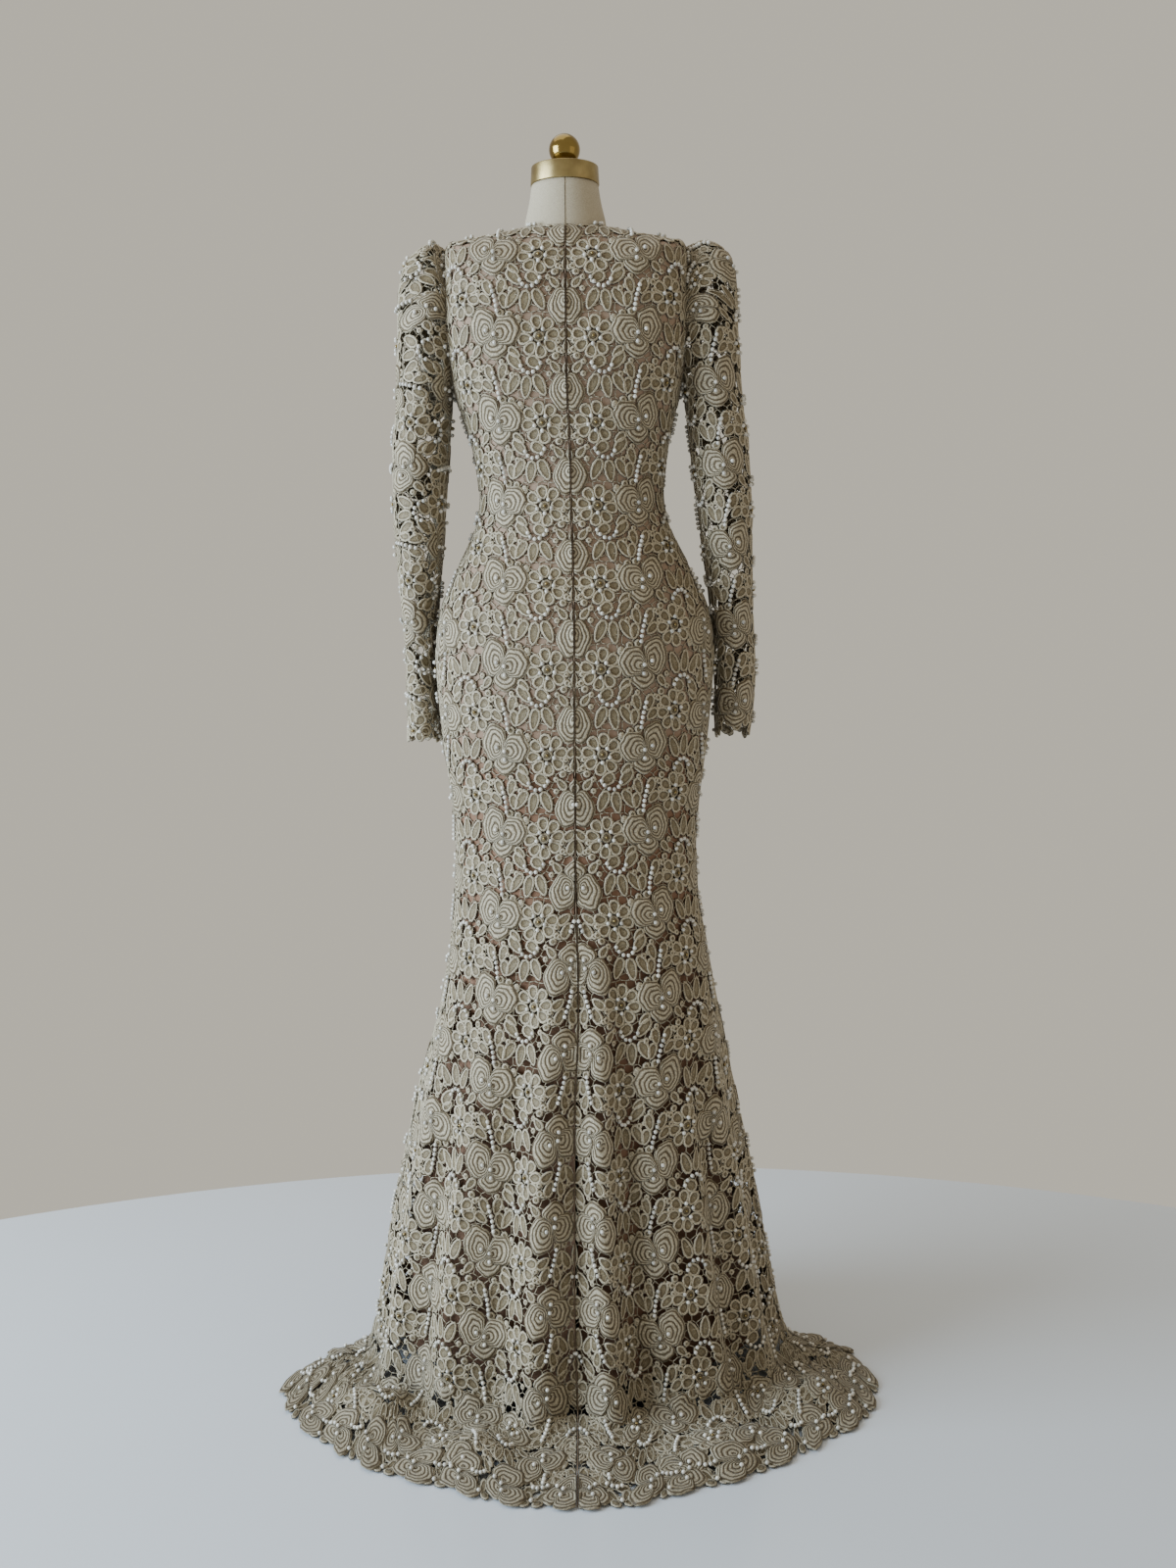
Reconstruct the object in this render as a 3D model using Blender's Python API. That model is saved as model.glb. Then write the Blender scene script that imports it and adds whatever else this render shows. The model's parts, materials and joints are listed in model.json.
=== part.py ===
"""Mermaid gown of beaded guipure lace, worn by a limbless dress form on a pole and base.

Metres, +Z up. The origin is the middle of the base's underside, on the floor. The gown's back faces -Y, its
front faces +Y, and the gown's right-hand side is at +X. Every cloth panel is a thin closed wall. Its inner
points lie on a surface that is worked out from the gown's sections, and its outer points are moved out from them.
"""

import math
from collections import namedtuple

import bpy
import numpy as np

# Cloth thicknesses and clearances, in metres
LACE_WALL = 0.0020
LINING_WALL = 0.0012
ZIP_TAPE_WALL = 0.0010
SEAM_GAP = 0.0003
ARMHOLE_GAP = 0.0005
LACE_TO_LINING = 0.0012
LINING_TO_FORM = 0.0022
ROSE_RISE = 0.0012

# The dress form above and below the gown
NECK_TOP_Z = 1.5108
CAP_HEIGHT = 0.0225
CAP_BOTTOM_RADIUS = 0.0425
CAP_TOP_RADIUS = 0.0413
BALL_RADIUS = 0.0192
BALL_STEM_RADIUS = 0.0090
BALL_STEM_HEIGHT = 0.0030
FORM_BOTTOM_Z = 0.800
POLE_RADIUS = 0.016
BASE_RADIUS = 0.170
BASE_THICKNESS = 0.010
BASE_HUB_RADIUS = 0.030
BASE_HUB_HEIGHT = 0.034

# The neck's rings above the neckline: height, half width and depth
NECK = ((1.4700, 0.0492, 0.0475), (1.4900, 0.0445, 0.0445), (NECK_TOP_Z, 0.0412, 0.0412))

# The gown's sections from the neckline down. The three heights are those of the section's side, back and front
# points, then come its half width, its depth behind and in front of the axis, how square its outline is
# (2 is an ellipse), and where its middle lies across.
Section = namedtuple("Section", "side_z back_z front_z half_width back front square middle_x")
SECTIONS = (
    Section(1.457, 1.451, 1.432, 0.0540, 0.056, 0.060, 2.0, 0.0),
    Section(1.449, 1.438, 1.416, 0.0920, 0.073, 0.079, 2.1, 0.0),
    Section(1.443, 1.419, 1.396, 0.1260, 0.086, 0.095, 2.3, 0.0),
    Section(1.434, 1.394, 1.372, 0.1455, 0.097, 0.108, 2.7, 0.0),
    Section(1.380, 1.350, 1.334, 0.1490, 0.106, 0.121, 2.9, 0.0),
    Section(1.322, 1.302, 1.292, 0.1480, 0.109, 0.132, 2.9, 0.0),
    Section(1.262, 1.254, 1.250, 0.1385, 0.104, 0.133, 2.6, 0.0),
    Section(1.212, 1.210, 1.208, 0.1255, 0.094, 0.122, 2.4, 0.0020),
    Section(1.165, 1.165, 1.165, 0.1160, 0.085, 0.106, 2.2, 0.0030),
    Section(1.125, 1.125, 1.125, 0.1140, 0.081, 0.098, 2.1, 0.0030),
    Section(1.085, 1.085, 1.085, 0.1245, 0.086, 0.098, 2.0, 0.0040),
    Section(1.040, 1.040, 1.040, 0.1465, 0.101, 0.103, 2.0, 0.0045),
    Section(0.995, 0.995, 0.995, 0.1670, 0.117, 0.107, 2.0, 0.0050),
    Section(0.945, 0.945, 0.945, 0.1750, 0.124, 0.108, 2.0, 0.0050),
    Section(0.890, 0.890, 0.890, 0.1725, 0.121, 0.107, 2.0, 0.0045),
    Section(0.825, 0.825, 0.825, 0.1665, 0.115, 0.106, 2.0, 0.0040),
    Section(0.755, 0.755, 0.755, 0.1575, 0.107, 0.105, 2.0, 0.0035),
    Section(0.690, 0.690, 0.690, 0.1530, 0.1035, 0.104, 2.0, 0.0030),
    Section(0.630, 0.630, 0.630, 0.1555, 0.107, 0.108, 2.0, 0.0030),
    Section(0.560, 0.560, 0.560, 0.1650, 0.118, 0.117, 2.0, 0.0045),
    Section(0.480, 0.480, 0.480, 0.1790, 0.132, 0.131, 2.0, 0.0040),
    Section(0.390, 0.390, 0.390, 0.1980, 0.145, 0.146, 2.0, -0.0010),
    Section(0.300, 0.300, 0.300, 0.2140, 0.156, 0.162, 2.0, -0.0025),
    Section(0.210, 0.210, 0.210, 0.2300, 0.165, 0.178, 2.0, -0.0035),
    Section(0.125, 0.125, 0.150, 0.2450, 0.172, 0.192, 2.0, -0.0045),
    Section(0.060, 0.060, 0.102, 0.2570, 0.178, 0.203, 2.0, -0.0030),
    Section(0.020, 0.020, 0.064, 0.2690, 0.190, 0.210, 2.0, -0.0020),
)
SHOULDER = 3
UNDERARM = 6
HIP = 13
KNEE = 17
FLOOR = len(SECTIONS) - 1
TRAIN_ROWS = 4
HEM = FLOOR + TRAIN_ROWS

# The lining hangs a little narrower than the lace from the knee down, as brown shows in the lace's gaps right up to
# the skirt's outline: how much of the lace's growth it follows, and the heights of its rows, the last one its hem
LINING_FLARE = 0.72
LINING_SKIRT_HEIGHTS = (0.63, 0.56, 0.42, 0.28, 0.15, 0.045)

# The armhole's depth behind and in front of the side line
ARMHOLE_BACK = 0.050
ARMHOLE_FRONT = 0.056

# The skirt's soft folds: the angle from the centre back, the half width of the fold, how far it stands out (or
# goes in, below zero) at the floor, and the height where it starts
Fold = namedtuple("Fold", "angle half_width depth top_z")
FOLDS = (
    Fold(-172, 8, 0.008, 0.56),
    Fold(-154, 8, -0.007, 0.52),
    Fold(-136, 9, 0.010, 0.55),
    Fold(-117, 8, -0.008, 0.52),
    Fold(-98, 8, 0.010, 0.55),
    Fold(-80, 7, -0.007, 0.52),
    Fold(-63, 7, 0.009, 0.58),
    Fold(-50, 6, -0.007, 0.56),
    Fold(-38, 6, 0.010, 0.62),
    Fold(-22, 6, -0.008, 0.66),
    Fold(-11, 6, 0.017, 0.73),
    Fold(0, 4, -0.008, 0.73),
    Fold(9, 5, 0.016, 0.73),
    Fold(18, 5, -0.014, 0.68),
    Fold(31, 7, 0.006, 0.62),
    Fold(42, 5, 0.009, 0.60),
    Fold(51, 6, -0.008, 0.56),
    Fold(63, 7, 0.008, 0.58),
    Fold(79, 6, -0.007, 0.52),
    Fold(96, 8, 0.011, 0.55),
    Fold(116, 8, -0.007, 0.52),
    Fold(134, 8, 0.009, 0.55),
    Fold(153, 8, -0.008, 0.52),
    Fold(170, 7, 0.009, 0.56),
)
FOLD_FULL_Z = 0.18

# How far the train reaches along the floor, by the angle from the centre back
Reach = namedtuple("Reach", "angle length")
TRAIN = (
    Reach(-180, 0.008),
    Reach(-120, 0.010),
    Reach(-108, 0.018),
    Reach(-99, 0.045),
    Reach(-90, 0.078),
    Reach(-84, 0.104),
    Reach(-77, 0.121),
    Reach(-65, 0.129),
    Reach(-50, 0.136),
    Reach(-25, 0.148),
    Reach(0, 0.172),
    Reach(25, 0.150),
    Reach(45, 0.135),
    Reach(62, 0.140),
    Reach(76, 0.128),
    Reach(90, 0.096),
    Reach(99, 0.062),
    Reach(108, 0.026),
    Reach(120, 0.010),
    Reach(180, 0.008),
)
TRAIN_LIFT = 0.0008
RIPPLE = 0.012
HEM_SCALLOP_DEPTH = 0.006

# The train's heaps: the angle, how far along the train, their half widths both ways, and their height
Heap = namedtuple("Heap", "angle along half_angle half_along height")
HEAPS = (
    Heap(-54, 0.42, 12, 0.26, 0.026),
    Heap(-22, 0.52, 10, 0.22, 0.010),
    Heap(27, 0.55, 10, 0.24, 0.011),
    Heap(64, 0.45, 11, 0.24, 0.010),
)

# Each sleeve's rings from the armhole seam to the cuff: its body-side point, its outer point, half its depth, how
# far forward it hangs, and how deep its gathers are. The first ring is the armhole itself.
Ring = namedtuple("Ring", "inner_x inner_z outer_x outer_z half_depth forward gather")
SLEEVES = {
    "right": (
        Ring(0.1405, 1.2600, 0.1500, 1.4370, 0.054, 0.000, 0.00),
        Ring(0.1465, 1.2580, 0.1670, 1.4420, 0.058, 0.000, 0.80),
        Ring(0.1470, 1.2545, 0.1850, 1.4390, 0.062, 0.000, 1.00),
        Ring(0.1480, 1.2510, 0.2020, 1.4220, 0.063, 0.000, 0.80),
        Ring(0.1485, 1.2470, 0.2095, 1.3850, 0.061, 0.000, 0.50),
        Ring(0.1485, 1.2430, 0.2120, 1.3200, 0.058, 0.000, 0.25),
        Ring(0.1490, 1.2380, 0.2175, 1.2450, 0.055, 0.000, 0.10),
        Ring(0.1540, 1.1900, 0.2240, 1.1920, 0.053, 0.001, 0.00),
        Ring(0.1630, 1.1200, 0.2285, 1.1200, 0.050, 0.003, 0.00),
        Ring(0.1720, 1.0500, 0.2295, 1.0500, 0.047, 0.007, 0.00),
        Ring(0.1800, 0.9800, 0.2315, 0.9800, 0.043, 0.013, 0.00),
        Ring(0.1845, 0.9100, 0.2345, 0.9100, 0.040, 0.018, 0.00),
        Ring(0.1845, 0.8650, 0.2320, 0.8650, 0.039, 0.020, 0.00),
        Ring(0.1860, 0.8260, 0.2270, 0.8260, 0.041, 0.020, 0.00),
    ),
    "left": (
        Ring(0.1405, 1.2600, 0.1500, 1.4370, 0.054, 0.000, 0.00),
        Ring(0.1450, 1.2580, 0.1640, 1.4430, 0.059, 0.000, 0.90),
        Ring(0.1450, 1.2545, 0.1810, 1.4350, 0.063, 0.000, 1.20),
        Ring(0.1460, 1.2510, 0.1970, 1.4160, 0.064, 0.000, 1.00),
        Ring(0.1460, 1.2470, 0.2060, 1.3800, 0.062, 0.000, 0.60),
        Ring(0.1460, 1.2430, 0.2090, 1.3200, 0.059, 0.000, 0.30),
        Ring(0.1465, 1.2380, 0.2130, 1.2450, 0.055, 0.000, 0.10),
        Ring(0.1510, 1.1900, 0.2190, 1.1920, 0.053, 0.002, 0.00),
        Ring(0.1570, 1.1200, 0.2195, 1.1200, 0.050, 0.006, 0.00),
        Ring(0.1640, 1.0500, 0.2180, 1.0500, 0.047, 0.014, 0.00),
        Ring(0.1710, 0.9800, 0.2135, 0.9800, 0.044, 0.024, 0.00),
        Ring(0.1750, 0.9100, 0.2110, 0.9100, 0.042, 0.032, 0.00),
        Ring(0.1735, 0.8650, 0.2115, 0.8650, 0.041, 0.034, 0.00),
        Ring(0.1710, 0.8260, 0.2130, 0.8260, 0.042, 0.034, 0.00),
    ),
}
SLEEVE_HALF_COLUMNS = 6
GATHER_DEPTH = 0.0030
CUFF_SCALLOP = 0.004
CUFF_BACK_RISE = {"right": 0.014, "left": 0.003}

# The grids: panel columns, and rows by stretch (first section, last section, number of rows)
BACK_COLUMNS = 12
FRONT_COLUMNS = 14
BACK_COLUMN_CROWDING = 1.25
LACE_ROWS = ((0, SHOULDER, 2), (SHOULDER, UNDERARM, 6), (UNDERARM, KNEE, 9), (KNEE, FLOOR, 9), (FLOOR, HEM, 4))
SLEEVE_ROWS = ((1, 6, 5), (6, 13, 7))
ELBOW_ROW = 9

# The angles of the panels' columns where the skirt meets the floor: each fold's ridge and hollow, and their flanks
FLOOR_COLUMNS = {
    "back_left": (-90, -80, -71, -63, -56, -50, -44, -38, -30, -22, -11, -4.5, 0),
    "back_right": (0, 4, 9, 18, 25, 31, 42, 51, 57, 63, 71, 79, 90),
    "front": (90, 97, 116, 125, 134, 153, 170, 179, 188, 206, 224, 234, 243, 263, 270),
}

# The lace repeat in metres, across and along the cloth, the places of its largest gaps and of its roses in one
# repeat as shares of it, and the size of a gap
REPEAT_ACROSS = 0.240
REPEAT_ALONG = 0.102
LARGE_GAPS = ((0.125, 0.27), (0.375, 0.76), (0.64, 0.22), (0.88, 0.72))
ROSES = ((0.25, 0.0), (0.75, 0.5))
ROSE_RADIUS = 0.030
LEAST_CELL = 0.016
GAP_HALF_WIDTH = 0.0068
GAP_HALF_HEIGHT = 0.0078
GAP_CORNERS = ((0.0, -1.0), (1.0, 0.12), (0.1, 1.0), (-1.0, -0.1))
MOST_PANEL_GAPS = {"back_left": 62, "back_right": 62, "front": 74}
MOST_SLEEVE_GAPS = 22
CENTRE_BACK_SHIFT = 0.034

# How far the flared seam edge has left the lace's straight grain, by height
GRAIN_HEIGHTS = (0.05, 0.25, 0.49, 0.58, 0.70)
GRAIN_SHIFTS = (0.050, 0.038, 0.024, 0.017, 0.0)

# The zip tape's half width, how far in from the side line the torso's extra edges lie, and how many points
# measure a row's length
ZIP_HALF_WIDTH = 0.012
FORM_EDGE = 0.12
DENSE = 1441


# Helpers for the scene


def clear_scene():
    for obj in list(bpy.data.objects):
        bpy.data.objects.remove(obj, do_unlink=True)


def material(name, colour, roughness, metallic=0.0):
    mat = bpy.data.materials.new(name)
    mat.use_nodes = True
    shader = mat.node_tree.nodes["Principled BSDF"]
    shader.inputs["Base Color"].default_value = (*colour, 1.0)
    shader.inputs["Roughness"].default_value = roughness
    shader.inputs["Metallic"].default_value = metallic
    return mat


def add_object(name, points, faces, mat, smooth_angle=40.0):
    """A mesh object from points and faces, turned right side out by its signed volume."""
    points = np.asarray(points, dtype=float)
    volume = 0.0
    for face in faces:
        a = points[face[0]]
        for b, c in zip(face[1:-1], face[2:]):
            volume += np.dot(a, np.cross(points[b], points[c]))
    if volume < 0:
        faces = [tuple(reversed(face)) for face in faces]
    mesh = bpy.data.meshes.new(name)
    mesh.from_pydata(points.tolist(), [], [list(map(int, face)) for face in faces])
    mesh.update()
    mesh.shade_smooth()
    mesh.set_sharp_from_angle(angle=math.radians(smooth_angle))
    mesh.materials.append(mat)
    obj = bpy.data.objects.new(name, mesh)
    bpy.context.scene.collection.objects.link(obj)
    return obj


# The gown's surface


def smooth_columns(table, at):
    """Each column of a table at the real-valued rows `at`, on a curve through its rows."""
    rows = np.array(table, dtype=float)
    at = np.clip(np.asarray(at, dtype=float), 0, len(rows) - 1)
    low = np.minimum(np.floor(at).astype(int), len(rows) - 2)
    part = (at - low)[..., None]
    slope = np.gradient(rows, axis=0)
    p0, p1, m0, m1 = rows[low], rows[low + 1], slope[low], slope[low + 1]
    square, cube = part**2, part**3
    ends = (2 * cube - 3 * square + 1) * p0 + (3 * square - 2 * cube) * p1
    return ends + (cube - 2 * square + part) * m0 + (cube - square) * m1


def smoothstep(value):
    value = np.clip(value, 0.0, 1.0)
    return value * value * (3 - 2 * value)


def fold_depth(angle, height):
    """How far the folds move the cloth out at these angles (degrees) and heights."""
    total = np.zeros(np.broadcast(angle, height).shape)
    for fold in FOLDS:
        away = (angle - fold.angle + 180.0) % 360.0 - 180.0
        grown = smoothstep((fold.top_z - height) / (fold.top_z - FOLD_FULL_Z))
        total += fold.depth * grown * np.exp(-((away / fold.half_width) ** 2))
    return total


def gown_point(angle, row, folded=True):
    """The inner lace surface: `angle` in degrees from the centre back, `row` from the neckline (0) to the HEM."""
    angle, row = np.broadcast_arrays(np.asarray(angle, float), np.asarray(row, float))
    size = smooth_columns(SECTIONS, row)
    side_z, back_z, front_z, half_width, back, front, square, middle_x = np.moveaxis(size, -1, 0)
    turn = np.radians(angle)
    sine, cosine = np.sin(turn), np.cos(turn)
    depth = np.where(cosine > 0, back, front)
    middle_z = np.where(cosine > 0, back_z, front_z)
    corner = (np.abs(sine) ** square + np.abs(cosine) ** square) ** (-1.0 / square)
    x = middle_x + half_width * sine * corner
    y = -depth * cosine * corner
    z = side_z * sine**2 + middle_z * cosine**2
    out_x, out_y = sine / half_width, -cosine / depth
    length = np.hypot(out_x, out_y)
    out_x, out_y = out_x / length, out_y / length
    if not folded:
        return np.stack([x, y, z], -1)
    turned = (angle + 180.0) % 360.0 - 180.0
    along = np.clip((row - FLOOR) / TRAIN_ROWS, 0.0, 1.0)
    reach = np.interp(turned, [r.angle for r in TRAIN], [r.length for r in TRAIN])
    on_floor = smoothstep(reach / 0.10)
    out = fold_depth(angle, z) * (1 - 0.75 * along) + reach * along
    waves = np.sin(np.radians(9.0 * angle) + 3.1 * along) * np.cos(np.radians(4.0 * angle) - 2.3 * along)
    ripple = RIPPLE * (0.5 + 0.5 * waves) * np.sin(math.pi * along) * on_floor
    for heap in HEAPS:
        aside = ((angle - heap.angle + 180.0) % 360.0 - 180.0) / heap.half_angle
        beyond = (along - heap.along) / heap.half_along
        ripple += heap.height * np.exp(-(aside**2) - beyond**2)
    ripple *= smoothstep(along / 0.2) * smoothstep((1 - along) / 0.2)
    floor_z = TRAIN_LIFT + (z - TRAIN_LIFT) * (1 - along) ** (1 + 4 * on_floor) + ripple
    z = np.where(along > 0, floor_z, z)
    return np.stack([x + out_x * out, y + out_y * out, z], -1)


def rows_of(plan, surface_at):
    """Row values over each stretch of the plan, evenly spaced along the cloth."""
    values = [float(plan[0][0])]
    for first, last, count in plan:
        fine = np.linspace(first, last, 200)
        line = surface_at(fine)
        length = np.concatenate([[0], np.cumsum(np.linalg.norm(np.diff(line, axis=0), axis=1))])
        values += list(np.interp(np.linspace(0, length[-1], count + 1)[1:], length, fine))
    return np.array(values)


def armhole_angle(row, front):
    """Where a panel ends at this row, in degrees from its own middle line: the side line, or the armhole's edge."""
    if not SHOULDER < row < UNDERARM:
        return 90.0
    size = smooth_columns(SECTIONS, row)
    top, bottom = SECTIONS[SHOULDER].side_z, SECTIONS[UNDERARM].side_z
    share = float(np.clip((size[0] - bottom) / (top - bottom), 0.0, 1.0))
    depth = (ARMHOLE_FRONT if front else ARMHOLE_BACK) * math.sin(math.pi * share) ** 0.75
    away = depth / (size[5] if front else size[4])
    return math.degrees(math.atan2((1 - away ** size[6]) ** (1 / size[6]), away))


def panel_ends(panel, row):
    """The angles of a panel's two side edges at this row."""
    edge = armhole_angle(row, panel == "front")
    return {"back_left": (-edge, 0.0), "back_right": (0.0, edge), "front": (180 - edge, 180 + edge)}[panel]


def panel_shares(panel):
    """The columns' places across a panel above the knee, crowded towards the centre back."""
    crowded = np.linspace(0, 1, BACK_COLUMNS + 1) ** BACK_COLUMN_CROWDING
    even = np.linspace(0, 1, FRONT_COLUMNS + 1)
    return {"back_left": 1 - crowded[::-1], "back_right": crowded, "front": even}[panel]


def panel_angles(panel, row):
    """The angles of a panel's columns: spread along the cloth above the knee, on the folds at the floor."""
    first, last = panel_ends(panel, row)
    fine = np.linspace(first, last, DENSE)
    line = gown_point(fine, np.full(DENSE, min(row, KNEE)), folded=False)
    length = np.concatenate([[0], np.cumsum(np.linalg.norm(np.diff(line, axis=0), axis=1))])
    spread = np.interp(panel_shares(panel) * length[-1], length, fine)
    share = float(smoothstep((row - KNEE) / 4))
    return spread * (1 - share) + np.array(FLOOR_COLUMNS[panel]) * share


def panel_grid(panel, rows):
    """Angle and row of every grid point of a panel."""
    angles = np.array([panel_angles(panel, row) for row in rows])
    return angles, np.repeat(rows[:, None], angles.shape[1], axis=1)


def grid_normals(grid):
    """Each grid point's normal times the area around it, from the cells that meet there."""
    cells = np.cross(grid[1:, 1:] - grid[:-1, :-1], grid[:-1, 1:] - grid[1:, :-1])
    total = np.zeros(grid.shape)
    for i in (0, 1):
        for j in (0, 1):
            total[i : i + cells.shape[0], j : j + cells.shape[1]] += cells
    return total


def joined_normals(grids, rows):
    """Unit normals of the three panels' grids, shared where two panels meet at a seam."""
    normals = {panel: grid_normals(grid) for panel, grid in grids.items()}
    whole = (rows <= SHOULDER) | (rows >= UNDERARM)
    every = np.full(rows.shape, True)
    seams = (("back_right", "front", whole), ("front", "back_left", whole), ("back_left", "back_right", every))
    for one, other, at in seams:
        shared = normals[one][at, -1] + normals[other][at, 0]
        normals[one][at, -1] = shared
        normals[other][at, 0] = shared
    return {panel: unit(normal) for panel, normal in normals.items()}


def unit(vectors):
    return vectors / np.linalg.norm(vectors, axis=-1, keepdims=True)


def pull_in(points, gap):
    """Moves a grid's side edges in by half of a seam's gap, square to the edge."""
    points = points.copy()
    for edge, beside in ((0, 1), (-1, -2)):
        step = points[:, beside] - points[:, edge]
        along = unit(np.gradient(points[:, edge], axis=0))
        points[:, edge] += unit(step - (step * along).sum(axis=-1, keepdims=True) * along) * gap / 2
    return points


def stretch_of(points, first, last, gap):
    """The rows of a grid from first to last. An end that isn't the grid's own moves in by half of a seam's gap."""
    part = points[first : last + 1].copy()
    if first > 0:
        part[0] += unit(part[1] - part[0]) * gap / 2
    if last < len(points) - 1:
        part[-1] += unit(part[-2] - part[-1]) * gap / 2
    return part


# Walls from grids


def cell_point(grid, row, column, across, along):
    """The point at these shares of one grid cell."""
    top = grid[row, column] * (1 - across) + grid[row, column + 1] * across
    bottom = grid[row + 1, column] * (1 - across) + grid[row + 1, column + 1] * across
    return top * (1 - along) + bottom * along


def add_wall(name, inner, outer, mat, gaps=(), fold_out=True):
    """A closed wall between two grids, with a four-cornered gap through some of its cells.

    gaps maps a cell to the gap's four (across, along) corners within it. Both sides of a bent cell are creased along
    the same diagonal: the one that stands out further, or the other where fold_out is false.
    """
    gaps = dict(gaps)
    crease = stands_out(inner, outer) == fold_out
    n_rows, n_columns = inner.shape[0] - 1, inner.shape[1] - 1
    back = np.arange(inner.shape[0] * inner.shape[1]).reshape(inner.shape[:2])
    front = back + back.size
    points = [*inner.reshape(-1, 3), *outer.reshape(-1, 3)]
    faces = []
    for row in range(n_rows):
        for column in range(n_columns):
            around = ((row, column), (row + 1, column), (row + 1, column + 1), (row, column + 1))
            out = [front[at] for at in around]
            within = [back[at] for at in around]
            corners = gaps.get((row, column))
            if not corners:
                turn = 0 if crease[row, column] else 1
                faces += two_triangles(out, turn) + [face[::-1] for face in two_triangles(within, turn)]
                continue
            hole_out = list(range(len(points), len(points) + 4))
            hole_in = list(range(len(points) + 4, len(points) + 8))
            points += [cell_point(outer, row, column, u, v) for u, v in corners[::-1]]
            points += [cell_point(inner, row, column, u, v) for u, v in corners[::-1]]
            faces += ring_between(out, hole_out)
            faces += [face[::-1] for face in ring_between(within, hole_in)]
            faces += ring_between(hole_out, hole_in)
    rim = [*((0, c) for c in range(n_columns)), *((r, n_columns) for r in range(n_rows))]
    rim += [*((n_rows, c) for c in range(n_columns, 0, -1)), *((r, 0) for r in range(n_rows, 0, -1))]
    for here, there in zip(rim, rim[1:] + rim[:1]):
        faces += two_triangles([front[here], front[there], back[there], back[here]], int(here < there))
    return add_object(name, points, faces, mat)


def add_stretch(name, inner, outer, mat, gaps, first, last):
    """The wall between two grids from one row to another, with the gaps that lie there."""
    inside = {(row - first, column): shape for (row, column), shape in gaps.items() if first <= row < last}
    ends = (stretch_of(grid, first, last, SEAM_GAP) for grid in (inner, outer))
    return add_wall(name, *ends, mat, inside)


def ring_between(around, hole):
    """The eight triangles between four corners and the four corners of a hole within them."""
    faces = []
    for k in range(4):
        m = (k + 1) % 4
        faces += [(around[k], around[m], hole[k]), (around[m], hole[m], hole[k])]
    return faces


def two_triangles(corners, turn):
    a, b, c, d = corners[turn:] + corners[:turn]
    return [(a, b, c), (a, c, d)]


def stands_out(inner, outer):
    """Whether the diagonal from a cell's first corner to its last stands out further than the other one."""
    other = inner[1:, :-1] + inner[:-1, 1:]
    first = inner[:-1, :-1] + inner[1:, 1:]
    return ((first - other) * (outer - inner)[:-1, :-1]).sum(axis=-1) > 0


def cell_size(grid, row, column):
    across = grid[row : row + 2, column + 1] - grid[row : row + 2, column]
    along = grid[row + 1, column : column + 2] - grid[row, column : column + 2]
    return np.linalg.norm(across, axis=1).mean(), np.linalg.norm(along, axis=1).mean()


def corners_in_cell(width, height, centre):
    """A gap's corners as shares of its cell, kept clear of the cell's edges."""
    wide, high = min(GAP_HALF_WIDTH / width, 0.36), min(GAP_HALF_HEIGHT / height, 0.36)
    u = min(max(centre[0], wide + 0.10), 0.90 - wide)
    v = min(max(centre[1], high + 0.10), 0.90 - high)
    return [(u + wide * a, v + high * b) for a, b in GAP_CORNERS]


def lay_gaps(grid, across, along, most_gaps, turned=False):
    """The cells that hold the repeat's largest gaps, largest first, with the gap's corners in the cell.

    across and along are the cloth's own measures at every grid point; a sleeve's lace lies turned by 90 degrees.
    """
    found = []
    step = (REPEAT_ALONG, REPEAT_ACROSS) if turned else (REPEAT_ACROSS, REPEAT_ALONG)
    for row in range(grid.shape[0] - 1):
        for column in range(grid.shape[1] - 1):
            block = np.s_[row : row + 2, column : column + 2]
            width, height = cell_size(grid, row, column)
            if width < LEAST_CELL or height < LEAST_CELL:
                continue
            for rank, place in enumerate(LARGE_GAPS):
                spot = place[::-1] if turned else place
                u = nearest_share(spot[0] * step[0], step[0], (across[block].min(), across[block].max()))
                v = nearest_share(spot[1] * step[1], step[1], (along[block].min(), along[block].max()))
                if u is not None and v is not None:
                    shape = corners_in_cell(width, height, (u, v))
                    found.append((rank, (row, column), shape))
    gaps = {}
    for rank, cell, shape in sorted(found, key=lambda item: item[:2]):
        if len(gaps) < most_gaps:
            gaps.setdefault(cell, shape)
    return gaps


def from_nearest(measure, place, step):
    """The distance to the nearest of the places that lie a step apart."""
    return (measure - place + step / 2) % step - step / 2


def rose_rise(across, along):
    """How far the roses raise each outer point: most at a rose's middle, nothing from its rim on."""
    rise = np.zeros(across.shape)
    for u, v in ROSES:
        aside = from_nearest(across, u * REPEAT_ACROSS, REPEAT_ACROSS)
        below = from_nearest(along, v * REPEAT_ALONG, REPEAT_ALONG)
        rise = np.maximum(rise, 1 - (aside**2 + below**2) / ROSE_RADIUS**2)
    rise[[0, -1]] = 0
    rise[:, [0, -1]] = 0
    return rise[..., None] * ROSE_RISE


def nearest_share(place, step, span):
    """Where a repeated place falls in a span, as a share of it, or None."""
    low, high = span
    spot = low + (place - low) % step
    if spot >= high or high - low <= 0:
        return None
    return (spot - low) / (high - low)


# The cut pieces


def cloth_measures(points, angles):
    """How far each grid point lies from the centre back, along its row, and down its own column."""
    across = np.zeros(points.shape[:2])
    across[:, 1:] = np.cumsum(np.linalg.norm(np.diff(points, axis=1), axis=2), axis=1)
    if angles[0, -1] == 0.0:
        across = across[:, -1:] - across
    elif angles[0, 0] != 0.0:
        across = np.abs(across - across[:, -1:] / 2)
    along = np.zeros(points.shape[:2])
    along[1:] = np.cumsum(np.linalg.norm(np.diff(points, axis=0), axis=2), axis=0)
    return across, along


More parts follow.
